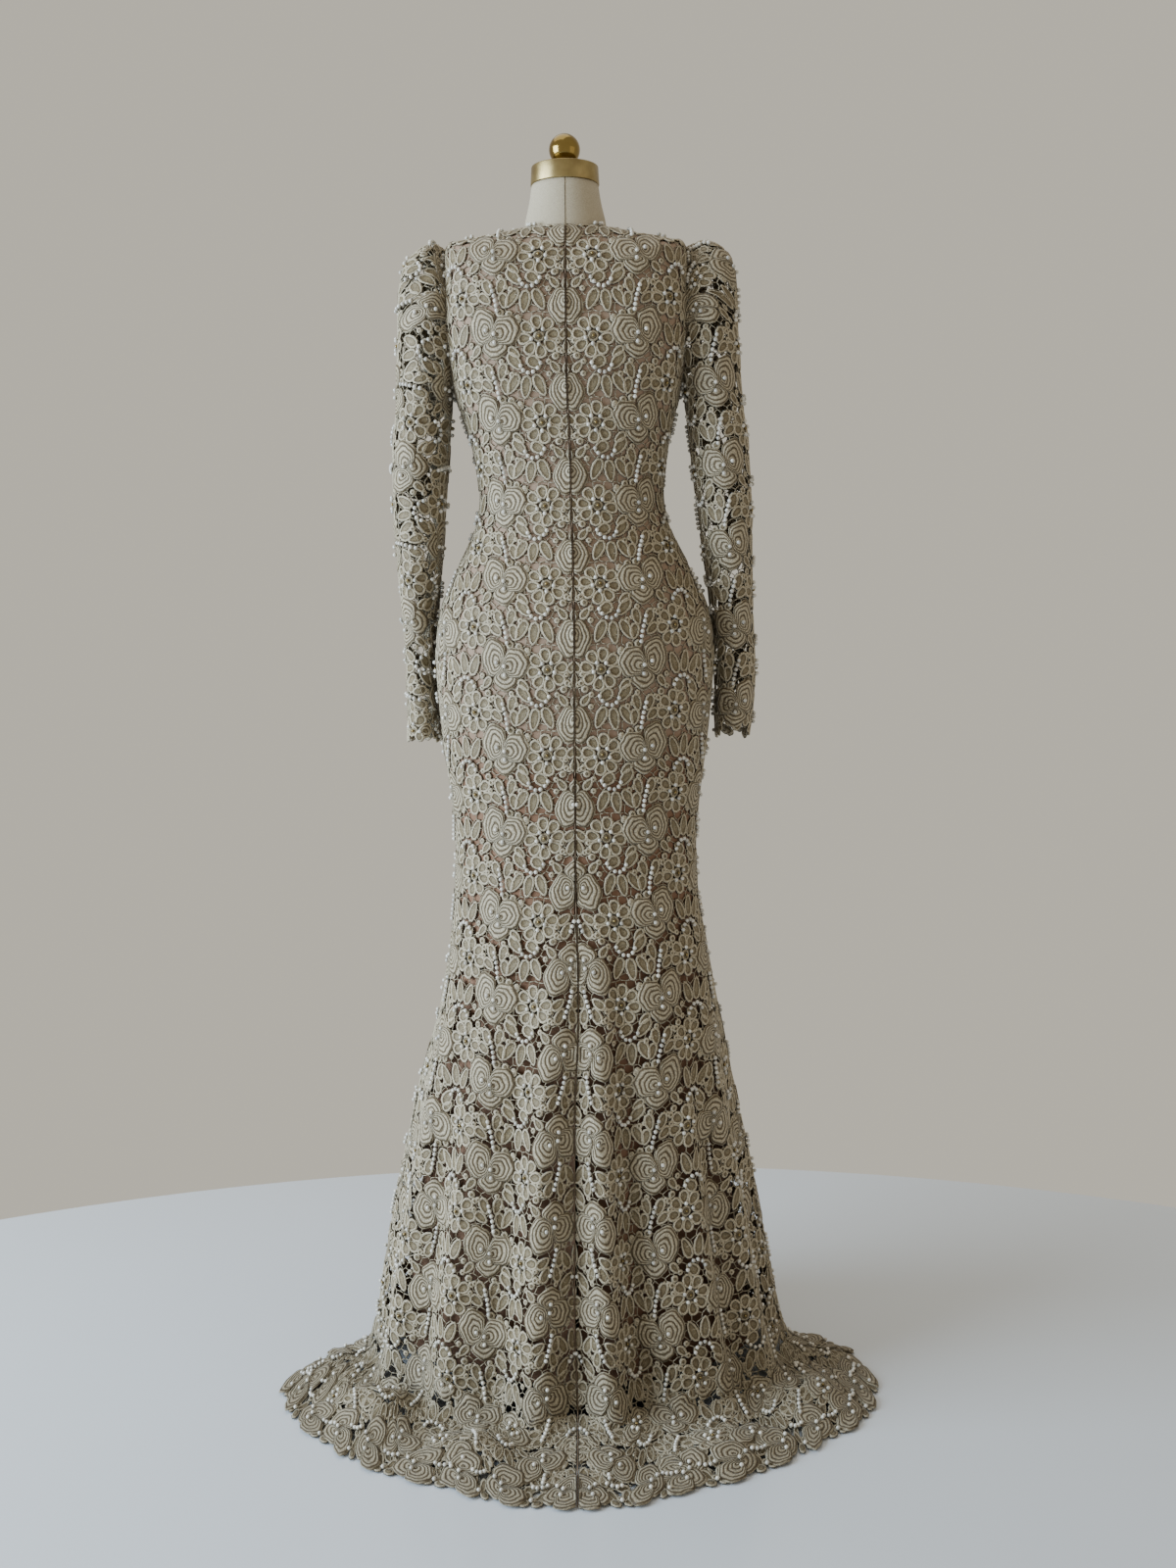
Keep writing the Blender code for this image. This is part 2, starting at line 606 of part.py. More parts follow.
def lace_grids(rows):
    """The inner and outer grids of the three lace panels, their hems scalloped at every second column."""
    grids, angles_of = {}, {}
    for panel in FLOOR_COLUMNS:
        angles, at = panel_grid(panel, rows)
        grid = gown_point(angles, at)
        down = grid[-1] - grid[-2]
        length = np.linalg.norm(down, axis=-1, keepdims=True)
        in_and_out = np.cos(math.pi * np.arange(len(down)))[:, None]
        grid[-1] += down / length * np.minimum(HEM_SCALLOP_DEPTH, 0.2 * length) * in_and_out
        grid[-1, :, 2] = np.maximum(grid[-1, :, 2], TRAIN_LIFT)
        grids[panel] = grid
        angles_of[panel] = angles
    normals = joined_normals(grids, rows)
    outer = {panel: grids[panel] + normals[panel] * LACE_WALL for panel in grids}
    return grids, outer, angles_of


def build_lace(rows, mat):
    """The three full-length lace panels, with their largest gaps cut through. Gives their grids.

    The cloth of each panel is one piece. Here it is two nodes that meet at the knee, so that each one's collision
    pieces can follow its own curve.
    """
    inner, outer, angles = lace_grids(rows)
    knee = int(np.flatnonzero(rows == KNEE)[0])
    for panel in inner:
        across, along = cloth_measures(inner[panel], angles[panel])
        across = across - CENTRE_BACK_SHIFT + REPEAT_ACROSS
        across = across - np.interp(inner[panel][..., 2], GRAIN_HEIGHTS, GRAIN_SHIFTS)
        raised = outer[panel] + unit(outer[panel] - inner[panel]) * rose_rise(across, along)
        gaps = lay_gaps(inner[panel], across, along, MOST_PANEL_GAPS[panel])
        walls = pull_in(inner[panel], SEAM_GAP), pull_in(raised, SEAM_GAP)
        for part, first, last in (("body", 0, knee), ("flare", knee, len(rows) - 1)):
            add_stretch(f"lace_{panel}_{part}", *walls, mat, gaps, first, last)
    return inner, outer


def lining_grids(rows):
    """The lining's outer grids and normals: the lace's fitted surface, and a little narrower from the knee down."""
    fitted = {}
    for panel in FLOOR_COLUMNS:
        angles, at = panel_grid(panel, rows)
        points = gown_point(angles, at, folded=False)
        knee = gown_point(angles, np.full(at.shape, KNEE), folded=False)
        narrow = knee[..., :2] + (points[..., :2] - knee[..., :2]) * LINING_FLARE
        points[..., :2] = np.where((at > KNEE)[..., None], narrow, points[..., :2])
        fitted[panel] = points
    normals = joined_normals(fitted, rows)
    outer = {panel: (fitted[panel] - normals[panel] * LACE_TO_LINING)[:, ::2] for panel in fitted}
    return outer, {panel: normals[panel][:, ::2] for panel in fitted}


def build_lining(rows, mat):
    outer, normals = lining_grids(rows)
    inner = {panel: outer[panel] - normals[panel] * LINING_WALL for panel in outer}
    for panel in outer:
        name = "lining_" + panel
        add_wall(name, pull_in(inner[panel], SEAM_GAP), pull_in(outer[panel], SEAM_GAP), mat, fold_out=False)
    return inner, normals


def build_zip(inner, normals, rows, mat):
    """The zip's tape, behind the centre back seam of the lining, from the neckline to the hip."""
    last = int(np.searchsorted(rows, HIP, side="right"))
    middle, right = inner["back_right"][1:last, 0], inner["back_right"][1:last, 1]
    left = inner["back_left"][1:last, -2]
    out = normals["back_right"][1:last, 0]
    edges = [middle + unit(side - middle) * ZIP_HALF_WIDTH for side in (left, right)]
    strip = np.stack([edges[0], middle, edges[1]], axis=1)
    face = strip - out[:, None] * SEAM_GAP
    behind = strip - out[:, None] * (SEAM_GAP + ZIP_TAPE_WALL)
    add_wall("centre_back_zip", behind, face, mat)


def sleeve_point(side, turn, ring):
    """A sleeve's inner surface at +X: `turn` in degrees from the body side by way of the back, `ring` in SLEEVES."""
    turn, ring = np.broadcast_arrays(np.asarray(turn, float), np.asarray(ring, float))
    size = smooth_columns(SLEEVES[side], ring)
    inner_x, inner_z, outer_x, outer_z, half_depth, forward, gather = np.moveaxis(size, -1, 0)
    angle = np.radians(turn)
    swing = -np.cos(angle)
    x = (inner_x + outer_x) / 2 + (outer_x - inner_x) / 2 * swing
    z = (inner_z + outer_z) / 2 + (outer_z - inner_z) / 2 * swing
    y = forward - half_depth * np.sin(angle)
    pucker = -GATHER_DEPTH * gather * np.cos(6 * angle) * smoothstep(0.5 + 0.5 * swing)
    rise = CUFF_BACK_RISE[side] * np.clip(np.sin(angle), 0, 1)
    hem = (CUFF_SCALLOP * np.cos(6 * angle) + rise) * smoothstep(ring - (len(SLEEVES[side]) - 2))
    return np.stack([x + swing * pucker, y - np.sin(angle) * pucker, z + hem], -1)


def armhole_loop(inner, outer, rows):
    """The armhole at +X from the underarm, up the back and down the front: both levels, and the way to its middle."""
    top, bottom = np.flatnonzero(rows == SHOULDER)[0], np.flatnonzero(rows == UNDERARM)[0]
    loops = []
    for panels in (inner, outer):
        up = panels["back_right"][top : bottom + 1, -1][::-1]
        down = panels["front"][top : bottom + 1, 0]
        loops.append(np.concatenate([up, down[1:]]))
    near, far = loops
    along = np.roll(near[:-1], -1, axis=0) - np.roll(near[:-1], 1, axis=0)
    inward = unit(np.cross(along, (far - near)[:-1]))
    middle = near[:-1].mean(axis=0)
    inward *= np.sign(((middle - near[:-1]) * inward).sum(axis=-1, keepdims=True))
    return near, far, np.concatenate([inward, inward[:1]])


def sleeve_grids(side, near, far, inward):
    """A sleeve's inner and outer grids at +X, started just inside the armhole's rim."""
    columns = 2 * SLEEVE_HALF_COLUMNS
    ring_rows = rows_of(SLEEVE_ROWS, lambda ring: sleeve_point(side, np.full(ring.shape, 180.0), ring))
    tube = sleeve_point(side, *np.meshgrid(np.linspace(0, 360, columns + 1), ring_rows))
    far = far + unit(far - near) * SEAM_GAP
    wall = inward * LACE_WALL
    start = np.stack([near, far]) + inward * ARMHOLE_GAP
    normal = grid_normals(np.concatenate([start[1:] + wall, tube]))
    normal[:, 0] += normal[:, -1]
    normal[:, -1] = normal[:, 0]
    normal = unit(normal)[1:]
    normal *= np.sign((normal * (tube - tube.mean(axis=1, keepdims=True))).sum(axis=-1, keepdims=True))
    return np.concatenate([start + wall, tube]), np.concatenate([start, tube + normal * LACE_WALL])


def build_sleeves(panel_inner, panel_outer, rows, mat):
    """Both sleeves, each in a back and a front half that meet at the underarm and along the outer line.

    Each half is two nodes that meet at the elbow, for the same reason as the panels' two.
    """
    loop = armhole_loop(panel_inner, panel_outer, rows)
    halves = (("back", np.s_[:, : SLEEVE_HALF_COLUMNS + 1]), ("front", np.s_[:, SLEEVE_HALF_COLUMNS:]))
    for side, mirror in (("right", 1.0), ("left", -1.0)):
        inner, outer = sleeve_grids(side, *loop)
        across = np.zeros(inner.shape[:2])
        across[:, 1:] = np.cumsum(np.linalg.norm(np.diff(inner, axis=1), axis=2), axis=1)
        along = np.zeros(inner.shape[:2])
        along[1:] = np.cumsum(np.linalg.norm(np.diff(inner, axis=0), axis=2), axis=0)
        flip = np.array([mirror, 1.0, 1.0])
        for half, block in halves:
            a = pull_in((inner * flip)[block], SEAM_GAP)
            b = pull_in((outer * flip)[block], SEAM_GAP)
            gaps = lay_gaps(a, across[block], along[block], MOST_SLEEVE_GAPS, turned=True)
            for part, first, last in (("upper", 0, ELBOW_ROW), ("lower", ELBOW_ROW, len(a) - 1)):
                add_stretch(f"sleeve_{side}_{half}_{part}", a, b, mat, gaps, first, last)


# The dress form


def turned_solid(name, profile, segments, mat):
    """A solid turned about the Z axis from (radius, height) points, top to bottom. Both ends lie on the axis."""
    points, faces, rings = [], [], []
    for radius, height in profile:
        if radius == 0:
            rings.append([len(points)])
            points.append((0.0, 0.0, height))
            continue
        rings.append(list(range(len(points), len(points) + segments)))
        for k in range(segments):
            turn = 2 * math.pi * k / segments
            points.append((radius * math.cos(turn), radius * math.sin(turn), height))
    for upper, lower in zip(rings, rings[1:]):
        for k in range(segments):
            m = (k + 1) % segments
            if len(upper) == 1:
                faces.append((upper[0], lower[k], lower[m]))
            elif len(lower) == 1:
                faces.append((upper[k], lower[0], upper[m]))
            else:
                faces.append((upper[k], lower[k], lower[m], upper[m]))
    return add_object(name, points, faces, mat)


def armhole_fill(back, front, row, side):
    """The torso's three points at one side: two edges and, between them, the filled-in armhole or the side line."""
    if SHOULDER < row < UNDERARM:
        fill = gown_point(np.array([90.0 * side]), np.array([row]), folded=False)[0]
        fill[0] -= side * (LACE_TO_LINING + LINING_WALL + LINING_TO_FORM)
        return [back[0], fill, front[0]]
    rounding = np.array([1.004, 1.004, 1.0])
    edges = [(panel[0] * (1 - FORM_EDGE) + panel[1] * FORM_EDGE) * rounding for panel in (back, front)]
    return [edges[0], back[0], edges[1]]


def form_rings(lining, normals, rows):
    """The torso's rings, just inside the lining, with a filled-in place for each armhole."""
    rings = []
    points = {panel: lining[panel] - normals[panel] * LINING_TO_FORM for panel in lining}
    for k, row in enumerate(rows):
        right, front, left = (points[panel][k] for panel in ("back_right", "front", "back_left"))
        right_side = armhole_fill(right[::-1], front, row, 1)
        left_side = armhole_fill(left, front[::-1], row, -1)[::-1]
        rings.append(np.array([*right[:-1], *right_side, *front[1:-1], *left_side, *left[1:-1]]))
    return rings


def build_form(lining, normals, rows, canvas):
    """The canvas-covered torso and neck, one solid, just inside the lining."""
    rings = form_rings(lining, normals, rows)
    share = (rings[-2][0][2] - FORM_BOTTOM_Z) / (rings[-2][0][2] - rings[-1][0][2])
    rings[-1] = rings[-2] * (1 - share) + rings[-1] * share
    rings[-1][:, 2] = FORM_BOTTOM_Z
    turn = np.arctan2(rings[0][:, 0], -rings[0][:, 1])
    for z, half_width, depth in NECK:
        height = np.full(turn.shape, z)
        rings.insert(0, np.stack([half_width * np.sin(turn), -depth * np.cos(turn), height], -1))
    count = len(rings[0])
    points = np.concatenate(rings)
    faces = [tuple(range(count)), tuple(range(len(points) - count, len(points)))[::-1]]
    for k in range(len(rings) - 1):
        for m in range(count):
            n = (m + 1) % count
            here, there = k * count, (k + 1) * count
            corners = [here + n, here + m, there + m, there + n]
            a, b, c, d = points[corners]
            turn = int(np.dot(a + c - b - d, np.cross(c - a, d - b)) > 0)
            faces += two_triangles(corners, turn)
    add_object("dress_form_body", points, faces, canvas)


def smooth_row_at(height):
    """The row whose side point is at this height."""
    fine = np.linspace(0, FLOOR, 4000)
    heights = smooth_columns(SECTIONS, fine)[:, 0]
    return float(np.interp(-height, -heights, fine))


def build_stand(brass, steel):
    """The brass cap and ball over the neck, and the pole and round base below."""
    cap_bottom = NECK_TOP_Z + SEAM_GAP
    cap_top = cap_bottom + CAP_HEIGHT
    bevel = 0.0012
    cap = ((0, cap_top + 0.0006), (CAP_TOP_RADIUS - bevel, cap_top), (CAP_TOP_RADIUS, cap_top - bevel),
           (CAP_BOTTOM_RADIUS, cap_bottom + bevel), (CAP_BOTTOM_RADIUS - bevel, cap_bottom), (0, cap_bottom))
    turned_solid("brass_neck_cap", cap, 24, brass)
    foot = cap_top + 0.0006 + SEAM_GAP
    start = math.asin(BALL_STEM_RADIUS / BALL_RADIUS)
    centre = foot + BALL_STEM_HEIGHT + BALL_RADIUS * math.cos(start)
    turns = np.linspace(0, math.pi - start, 9)[1:]
    arc = [(BALL_RADIUS * math.sin(turn), centre + BALL_RADIUS * math.cos(turn)) for turn in turns]
    ball = [(0, centre + BALL_RADIUS), *arc, (BALL_STEM_RADIUS, foot), (0, foot)]
    turned_solid("brass_ball_finial", ball, 18, brass)
    rim = 0.003
    hub_top = BASE_THICKNESS + BASE_HUB_HEIGHT
    disc = ((BASE_RADIUS - rim, BASE_THICKNESS), (BASE_RADIUS, BASE_THICKNESS - rim), (BASE_RADIUS, 0), (0, 0))
    base = ((0, hub_top), (BASE_HUB_RADIUS, hub_top), (BASE_HUB_RADIUS, BASE_THICKNESS), *disc)
    turned_solid("stand_base", base, 24, steel)
    top, foot = FORM_BOTTOM_Z - SEAM_GAP, hub_top + SEAM_GAP
    turned_solid("stand_pole", ((0, top), (POLE_RADIUS, top), (POLE_RADIUS, foot), (0, foot)), 16, steel)


def main():
    clear_scene()
    lace = material("lace", (0.42, 0.37, 0.29), 0.85)
    lining = material("lining", (0.38, 0.27, 0.21), 0.7)
    tape = material("zip_tape", (0.12, 0.09, 0.07), 0.8)
    canvas = material("canvas", (0.62, 0.58, 0.50), 0.9)
    brass = material("brass", (0.60, 0.42, 0.15), 0.3, 1.0)
    steel = material("painted_metal", (0.05, 0.05, 0.05), 0.5, 0.3)

    rows = rows_of(LACE_ROWS, lambda row: gown_point(np.zeros(row.shape), row))
    for section in (SHOULDER, UNDERARM, KNEE, FLOOR):
        rows[np.argmin(np.abs(rows - section))] = section
    inner, outer = build_lace(rows, lace)
    build_sleeves(inner, outer, rows, lace)

    skirt_rows = [smooth_row_at(z) for z in LINING_SKIRT_HEIGHTS]
    lining_rows = np.concatenate([rows[rows <= KNEE], skirt_rows])
    lining_inner, lining_normals = build_lining(lining_rows, lining)
    build_zip(lining_inner, lining_normals, lining_rows, tape)
    torso = slice(0, int(np.searchsorted(lining_rows, smooth_row_at(FORM_BOTTOM_Z))) + 1)
    torso_inner = {panel: grid[torso] for panel, grid in lining_inner.items()}
    torso_normals = {panel: grid[torso] for panel, grid in lining_normals.items()}
    build_form(torso_inner, torso_normals, lining_rows[torso], canvas)
    build_stand(brass, steel)


main()
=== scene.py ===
"""Looks of the mermaid gown: beaded guipure lace over its lining, on a limbless dress form.

Metres, +Z up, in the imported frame: the gown's back and train face -Y, its right-hand side is at +X. Every
soft piece lies on one surface, worked out from the gown's sections. The lace is charted once as a repeat,
in millimetres across and down the cloth, then laid out over each panel along the cloth's own lengths.
"""

import json
import math
from collections import namedtuple

import bpy
import numpy as np
from mathutils import Matrix

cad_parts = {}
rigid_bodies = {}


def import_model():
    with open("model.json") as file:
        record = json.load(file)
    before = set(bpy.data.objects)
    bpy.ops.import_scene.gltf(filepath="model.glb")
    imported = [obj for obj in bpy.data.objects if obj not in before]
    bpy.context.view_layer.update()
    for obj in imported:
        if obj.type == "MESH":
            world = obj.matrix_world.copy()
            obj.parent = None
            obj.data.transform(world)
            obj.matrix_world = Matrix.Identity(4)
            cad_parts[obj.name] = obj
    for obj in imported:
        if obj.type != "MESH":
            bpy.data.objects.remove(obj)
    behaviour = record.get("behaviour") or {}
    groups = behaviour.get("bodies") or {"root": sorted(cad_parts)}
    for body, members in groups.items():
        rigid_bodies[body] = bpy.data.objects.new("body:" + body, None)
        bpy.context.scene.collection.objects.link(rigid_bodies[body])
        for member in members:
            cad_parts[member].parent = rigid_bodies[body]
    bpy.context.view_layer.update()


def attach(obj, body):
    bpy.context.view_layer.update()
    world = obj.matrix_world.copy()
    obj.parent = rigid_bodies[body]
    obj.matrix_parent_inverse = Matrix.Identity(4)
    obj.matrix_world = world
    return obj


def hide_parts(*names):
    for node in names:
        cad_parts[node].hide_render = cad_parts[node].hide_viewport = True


bl_info = {
    "name": "Mermaid Gown",
    "version": (1, 0, 0),
    "blender": (4, 5, 0),
    "location": "View3D > Sidebar > Gown",
    "description": "A beaded guipure lace gown with a train, on a dress form",
    "category": "Add Mesh",
}

for startup_object in list(bpy.data.objects):
    bpy.data.objects.remove(startup_object, do_unlink=True)
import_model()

MM = 0.001

# The gown's sections from the neckline down. Each has the heights of its side, back and front points, its
# half width, its depth behind and in front of the axis, how square its outline is (2 is an ellipse), and
# where its middle lies across.
SIDE_Z, BACK_Z, FRONT_Z, HALF_WIDTH, BACK, FRONT, SQUARE, MIDDLE_X = range(8)
SECTIONS = (
    (1.457, 1.451, 1.432, 0.054, 0.056, 0.06, 2.0, 0.0),
    (1.449, 1.438, 1.416, 0.092, 0.073, 0.079, 2.1, 0.0),
    (1.443, 1.419, 1.396, 0.126, 0.086, 0.095, 2.3, 0.0),
    (1.434, 1.394, 1.372, 0.1455, 0.097, 0.108, 2.7, 0.0),
    (1.38, 1.35, 1.334, 0.149, 0.106, 0.121, 2.9, 0.0),
    (1.322, 1.302, 1.292, 0.148, 0.109, 0.132, 2.9, 0.0),
    (1.262, 1.254, 1.25, 0.1385, 0.104, 0.133, 2.6, 0.0),
    (1.212, 1.21, 1.208, 0.1255, 0.094, 0.122, 2.4, 0.002),
    (1.165, 1.165, 1.165, 0.116, 0.085, 0.106, 2.2, 0.003),
    (1.125, 1.125, 1.125, 0.114, 0.081, 0.098, 2.1, 0.003),
    (1.085, 1.085, 1.085, 0.1245, 0.086, 0.098, 2.0, 0.004),
    (1.04, 1.04, 1.04, 0.1465, 0.101, 0.103, 2.0, 0.0045),
    (0.995, 0.995, 0.995, 0.167, 0.117, 0.107, 2.0, 0.005),
    (0.945, 0.945, 0.945, 0.175, 0.124, 0.108, 2.0, 0.005),
    (0.89, 0.89, 0.89, 0.1725, 0.121, 0.107, 2.0, 0.0045),
    (0.825, 0.825, 0.825, 0.1665, 0.115, 0.106, 2.0, 0.004),
    (0.755, 0.755, 0.755, 0.1575, 0.107, 0.105, 2.0, 0.0035),
    (0.69, 0.69, 0.69, 0.153, 0.1035, 0.104, 2.0, 0.003),
    (0.63, 0.63, 0.63, 0.1555, 0.107, 0.108, 2.0, 0.003),
    (0.56, 0.56, 0.56, 0.165, 0.118, 0.117, 2.0, 0.0045),
    (0.48, 0.48, 0.48, 0.179, 0.132, 0.131, 2.0, 0.004),
    (0.39, 0.39, 0.39, 0.198, 0.145, 0.146, 2.0, -0.001),
    (0.3, 0.3, 0.3, 0.214, 0.156, 0.162, 2.0, -0.0025),
    (0.21, 0.21, 0.21, 0.23, 0.165, 0.178, 2.0, -0.0035),
    (0.125, 0.125, 0.15, 0.245, 0.172, 0.192, 2.0, -0.0045),
    (0.06, 0.06, 0.102, 0.257, 0.178, 0.203, 2.0, -0.003),
    (0.02, 0.02, 0.064, 0.269, 0.19, 0.21, 2.0, -0.002),
)
SHOULDER = 3
UNDERARM = 6
HIP = 13
KNEE = 17
FLOOR = len(SECTIONS) - 1
TRAIN_ROWS = 4
HEM = FLOOR + TRAIN_ROWS
HEM_SPARE_ROWS = 0.6

# The armhole's depth behind and in front of the side line
ARMHOLE_BACK = 0.050
ARMHOLE_FRONT = 0.056

# The skirt's soft folds: each one's angle from the centre back, its half width, how far it stands out (or
# goes in, below zero) at the floor, and the height where it starts
FOLDS = (
    (-172, 8, 0.008, 0.56), (-154, 8, -0.007, 0.52), (-136, 9, 0.010, 0.55), (-117, 8, -0.008, 0.52),
    (-98, 8, 0.010, 0.55), (-80, 7, -0.007, 0.52), (-63, 7, 0.009, 0.58), (-50, 6, -0.007, 0.56),
    (-38, 6, 0.010, 0.62), (-22, 6, -0.008, 0.66), (-11, 6, 0.017, 0.73), (0, 4, -0.008, 0.73),
    (9, 5, 0.016, 0.73), (18, 5, -0.014, 0.68), (31, 7, 0.006, 0.62), (42, 5, 0.009, 0.60),
    (51, 6, -0.008, 0.56), (63, 7, 0.008, 0.58), (79, 6, -0.007, 0.52), (96, 8, 0.011, 0.55),
    (116, 8, -0.007, 0.52), (134, 8, 0.009, 0.55), (153, 8, -0.008, 0.52), (170, 7, 0.009, 0.56),
)
FOLD_FULL_Z = 0.18
# The lace folds a little deeper than the plain solids do, for the light and shade that the photo shows
FOLD_GAIN = 1.25

# How far the train reaches along the floor, by the angle from the centre back
TRAIN_ANGLES = (
    -180, -120, -108, -99, -90, -84, -77, -65, -50, -25,
    0, 25, 45, 62, 76, 90, 99, 108, 120, 180,
)
TRAIN_REACHES = (
    0.008, 0.010, 0.018, 0.045, 0.078, 0.104, 0.121, 0.129, 0.136, 0.148,
    0.172, 0.150, 0.135, 0.140, 0.128, 0.096, 0.062, 0.026, 0.010, 0.008,
)
TRAIN_LIFT = 0.0008
# A reach from which the train lies flat on the floor, and by how much it flattens the folds
FLAT_REACH = 0.10
FLATTENING = 0.75
# The train's ripples: their height, and how many times two crossing waves of them turn and drift
RIPPLE = 0.012
RIPPLE_TURNS = (9.0, 4.0)
RIPPLE_DRIFTS = (3.1, 2.3)
# The share of the train over which its ripples start and end
RIPPLE_EASE = 0.2
# How much faster than evenly the cloth comes down to the floor there
TRAIN_DROP = 4

# The train's heaps: the angle, how far along the train, their half widths both ways, and their height
HEAPS = (
    (-54, 0.42, 12, 0.26, 0.026),
    (-22, 0.52, 10, 0.22, 0.010),
    (27, 0.55, 10, 0.24, 0.011),
    (64, 0.45, 11, 0.24, 0.010),
)

# Each sleeve's rings from the armhole seam to the cuff: its body-side point, its outer point, half its
# depth, how far forward it hangs, and how deep its gathers are
SLEEVES = {
    "right": (
        (0.1405, 1.26, 0.15, 1.437, 0.054, 0.0, 0.0),
        (0.1465, 1.258, 0.167, 1.442, 0.058, 0.0, 0.8),
        (0.147, 1.2545, 0.185, 1.439, 0.062, 0.0, 1.0),
        (0.148, 1.251, 0.202, 1.422, 0.063, 0.0, 0.8),
        (0.1485, 1.247, 0.2095, 1.385, 0.061, 0.0, 0.5),
        (0.1485, 1.243, 0.212, 1.32, 0.058, 0.0, 0.25),
        (0.149, 1.238, 0.2175, 1.245, 0.055, 0.0, 0.1),
        (0.154, 1.19, 0.224, 1.192, 0.053, 0.001, 0.0),
        (0.163, 1.12, 0.2285, 1.12, 0.05, 0.003, 0.0),
        (0.172, 1.05, 0.2295, 1.05, 0.047, 0.007, 0.0),
        (0.18, 0.98, 0.2315, 0.98, 0.043, 0.013, 0.0),
        (0.1845, 0.91, 0.2345, 0.91, 0.04, 0.018, 0.0),
        (0.1845, 0.865, 0.232, 0.865, 0.039, 0.02, 0.0),
        (0.186, 0.826, 0.227, 0.826, 0.041, 0.02, 0.0),
    ),
    "left": (
        (0.1405, 1.26, 0.15, 1.437, 0.054, 0.0, 0.0),
        (0.145, 1.258, 0.164, 1.443, 0.059, 0.0, 0.9),
        (0.145, 1.2545, 0.181, 1.435, 0.063, 0.0, 1.2),
        (0.146, 1.251, 0.197, 1.416, 0.064, 0.0, 1.0),
        (0.146, 1.247, 0.206, 1.38, 0.062, 0.0, 0.6),
        (0.146, 1.243, 0.209, 1.32, 0.059, 0.0, 0.3),
        (0.1465, 1.238, 0.213, 1.245, 0.055, 0.0, 0.1),
        (0.151, 1.19, 0.219, 1.192, 0.053, 0.002, 0.0),
        (0.157, 1.12, 0.2195, 1.12, 0.05, 0.006, 0.0),
        (0.164, 1.05, 0.218, 1.05, 0.047, 0.014, 0.0),
        (0.171, 0.98, 0.2135, 0.98, 0.044, 0.024, 0.0),
        (0.175, 0.91, 0.211, 0.91, 0.042, 0.032, 0.0),
        (0.1735, 0.865, 0.2115, 0.865, 0.041, 0.034, 0.0),
        (0.171, 0.826, 0.213, 0.826, 0.042, 0.034, 0.0),
    ),
}
CUFF = len(SLEEVES["right"]) - 1
SLEEVE_ANCHOR = 7
GATHER_DEPTH = 0.0030
GATHERS = 6
CUFF_SCALLOP = 0.004
CUFF_BACK_RISE = {"right": 0.014, "left": 0.003}

# How far the flared seam edge has left the lace's straight grain, by height
GRAIN_HEIGHTS = (0.05, 0.25, 0.49, 0.565, 0.61, 0.66, 0.755, 0.87)
GRAIN_SHIFTS = (0.055, 0.043, 0.028, 0.020, 0.015, 0.010, 0.003, 0.0)
# The lace's repeat is a little longer below the hip than above it
LOWER_STRETCH = 0.045


# The gown's surface


def smooth_columns(table, at):
    """Each column of a table at the real-valued rows `at`, on a cubic curve through its rows."""
    rows = np.array(table, dtype=float)
    at = np.clip(np.asarray(at, dtype=float), 0, len(rows) - 1)
    low = np.minimum(np.floor(at).astype(int), len(rows) - 2)
    part = (at - low)[..., None]
    slope = np.gradient(rows, axis=0)
    p0, p1, m0, m1 = rows[low], rows[low + 1], slope[low], slope[low + 1]
    square, cube = part**2, part**3
    ends = (2 * cube - 3 * square + 1) * p0 + (3 * square - 2 * cube) * p1
    return ends + (cube - 2 * square + part) * m0 + (cube - square) * m1


def smoothstep(value):
    value = np.clip(value, 0.0, 1.0)
    return value * value * (3 - 2 * value)


def unit(vectors):
    return vectors / np.maximum(np.linalg.norm(vectors, axis=-1, keepdims=True), 1e-12)


def wrapped(angle):
    """An angle in degrees, brought to between -180 and 180."""
    return (angle + 180.0) % 360.0 - 180.0


def fold_depth(angle, height):
    """The sum of the folds: each is its depth, times how far it has grown below its top, times a bell curve
    round its own angle."""
    total = np.zeros(np.broadcast(angle, height).shape)
    for middle, half_width, depth, top_z in FOLDS:
        grown = smoothstep((top_z - height) / (top_z - FOLD_FULL_Z))
        total += depth * grown * np.exp(-((wrapped(angle - middle) / half_width) ** 2))
    return total * FOLD_GAIN


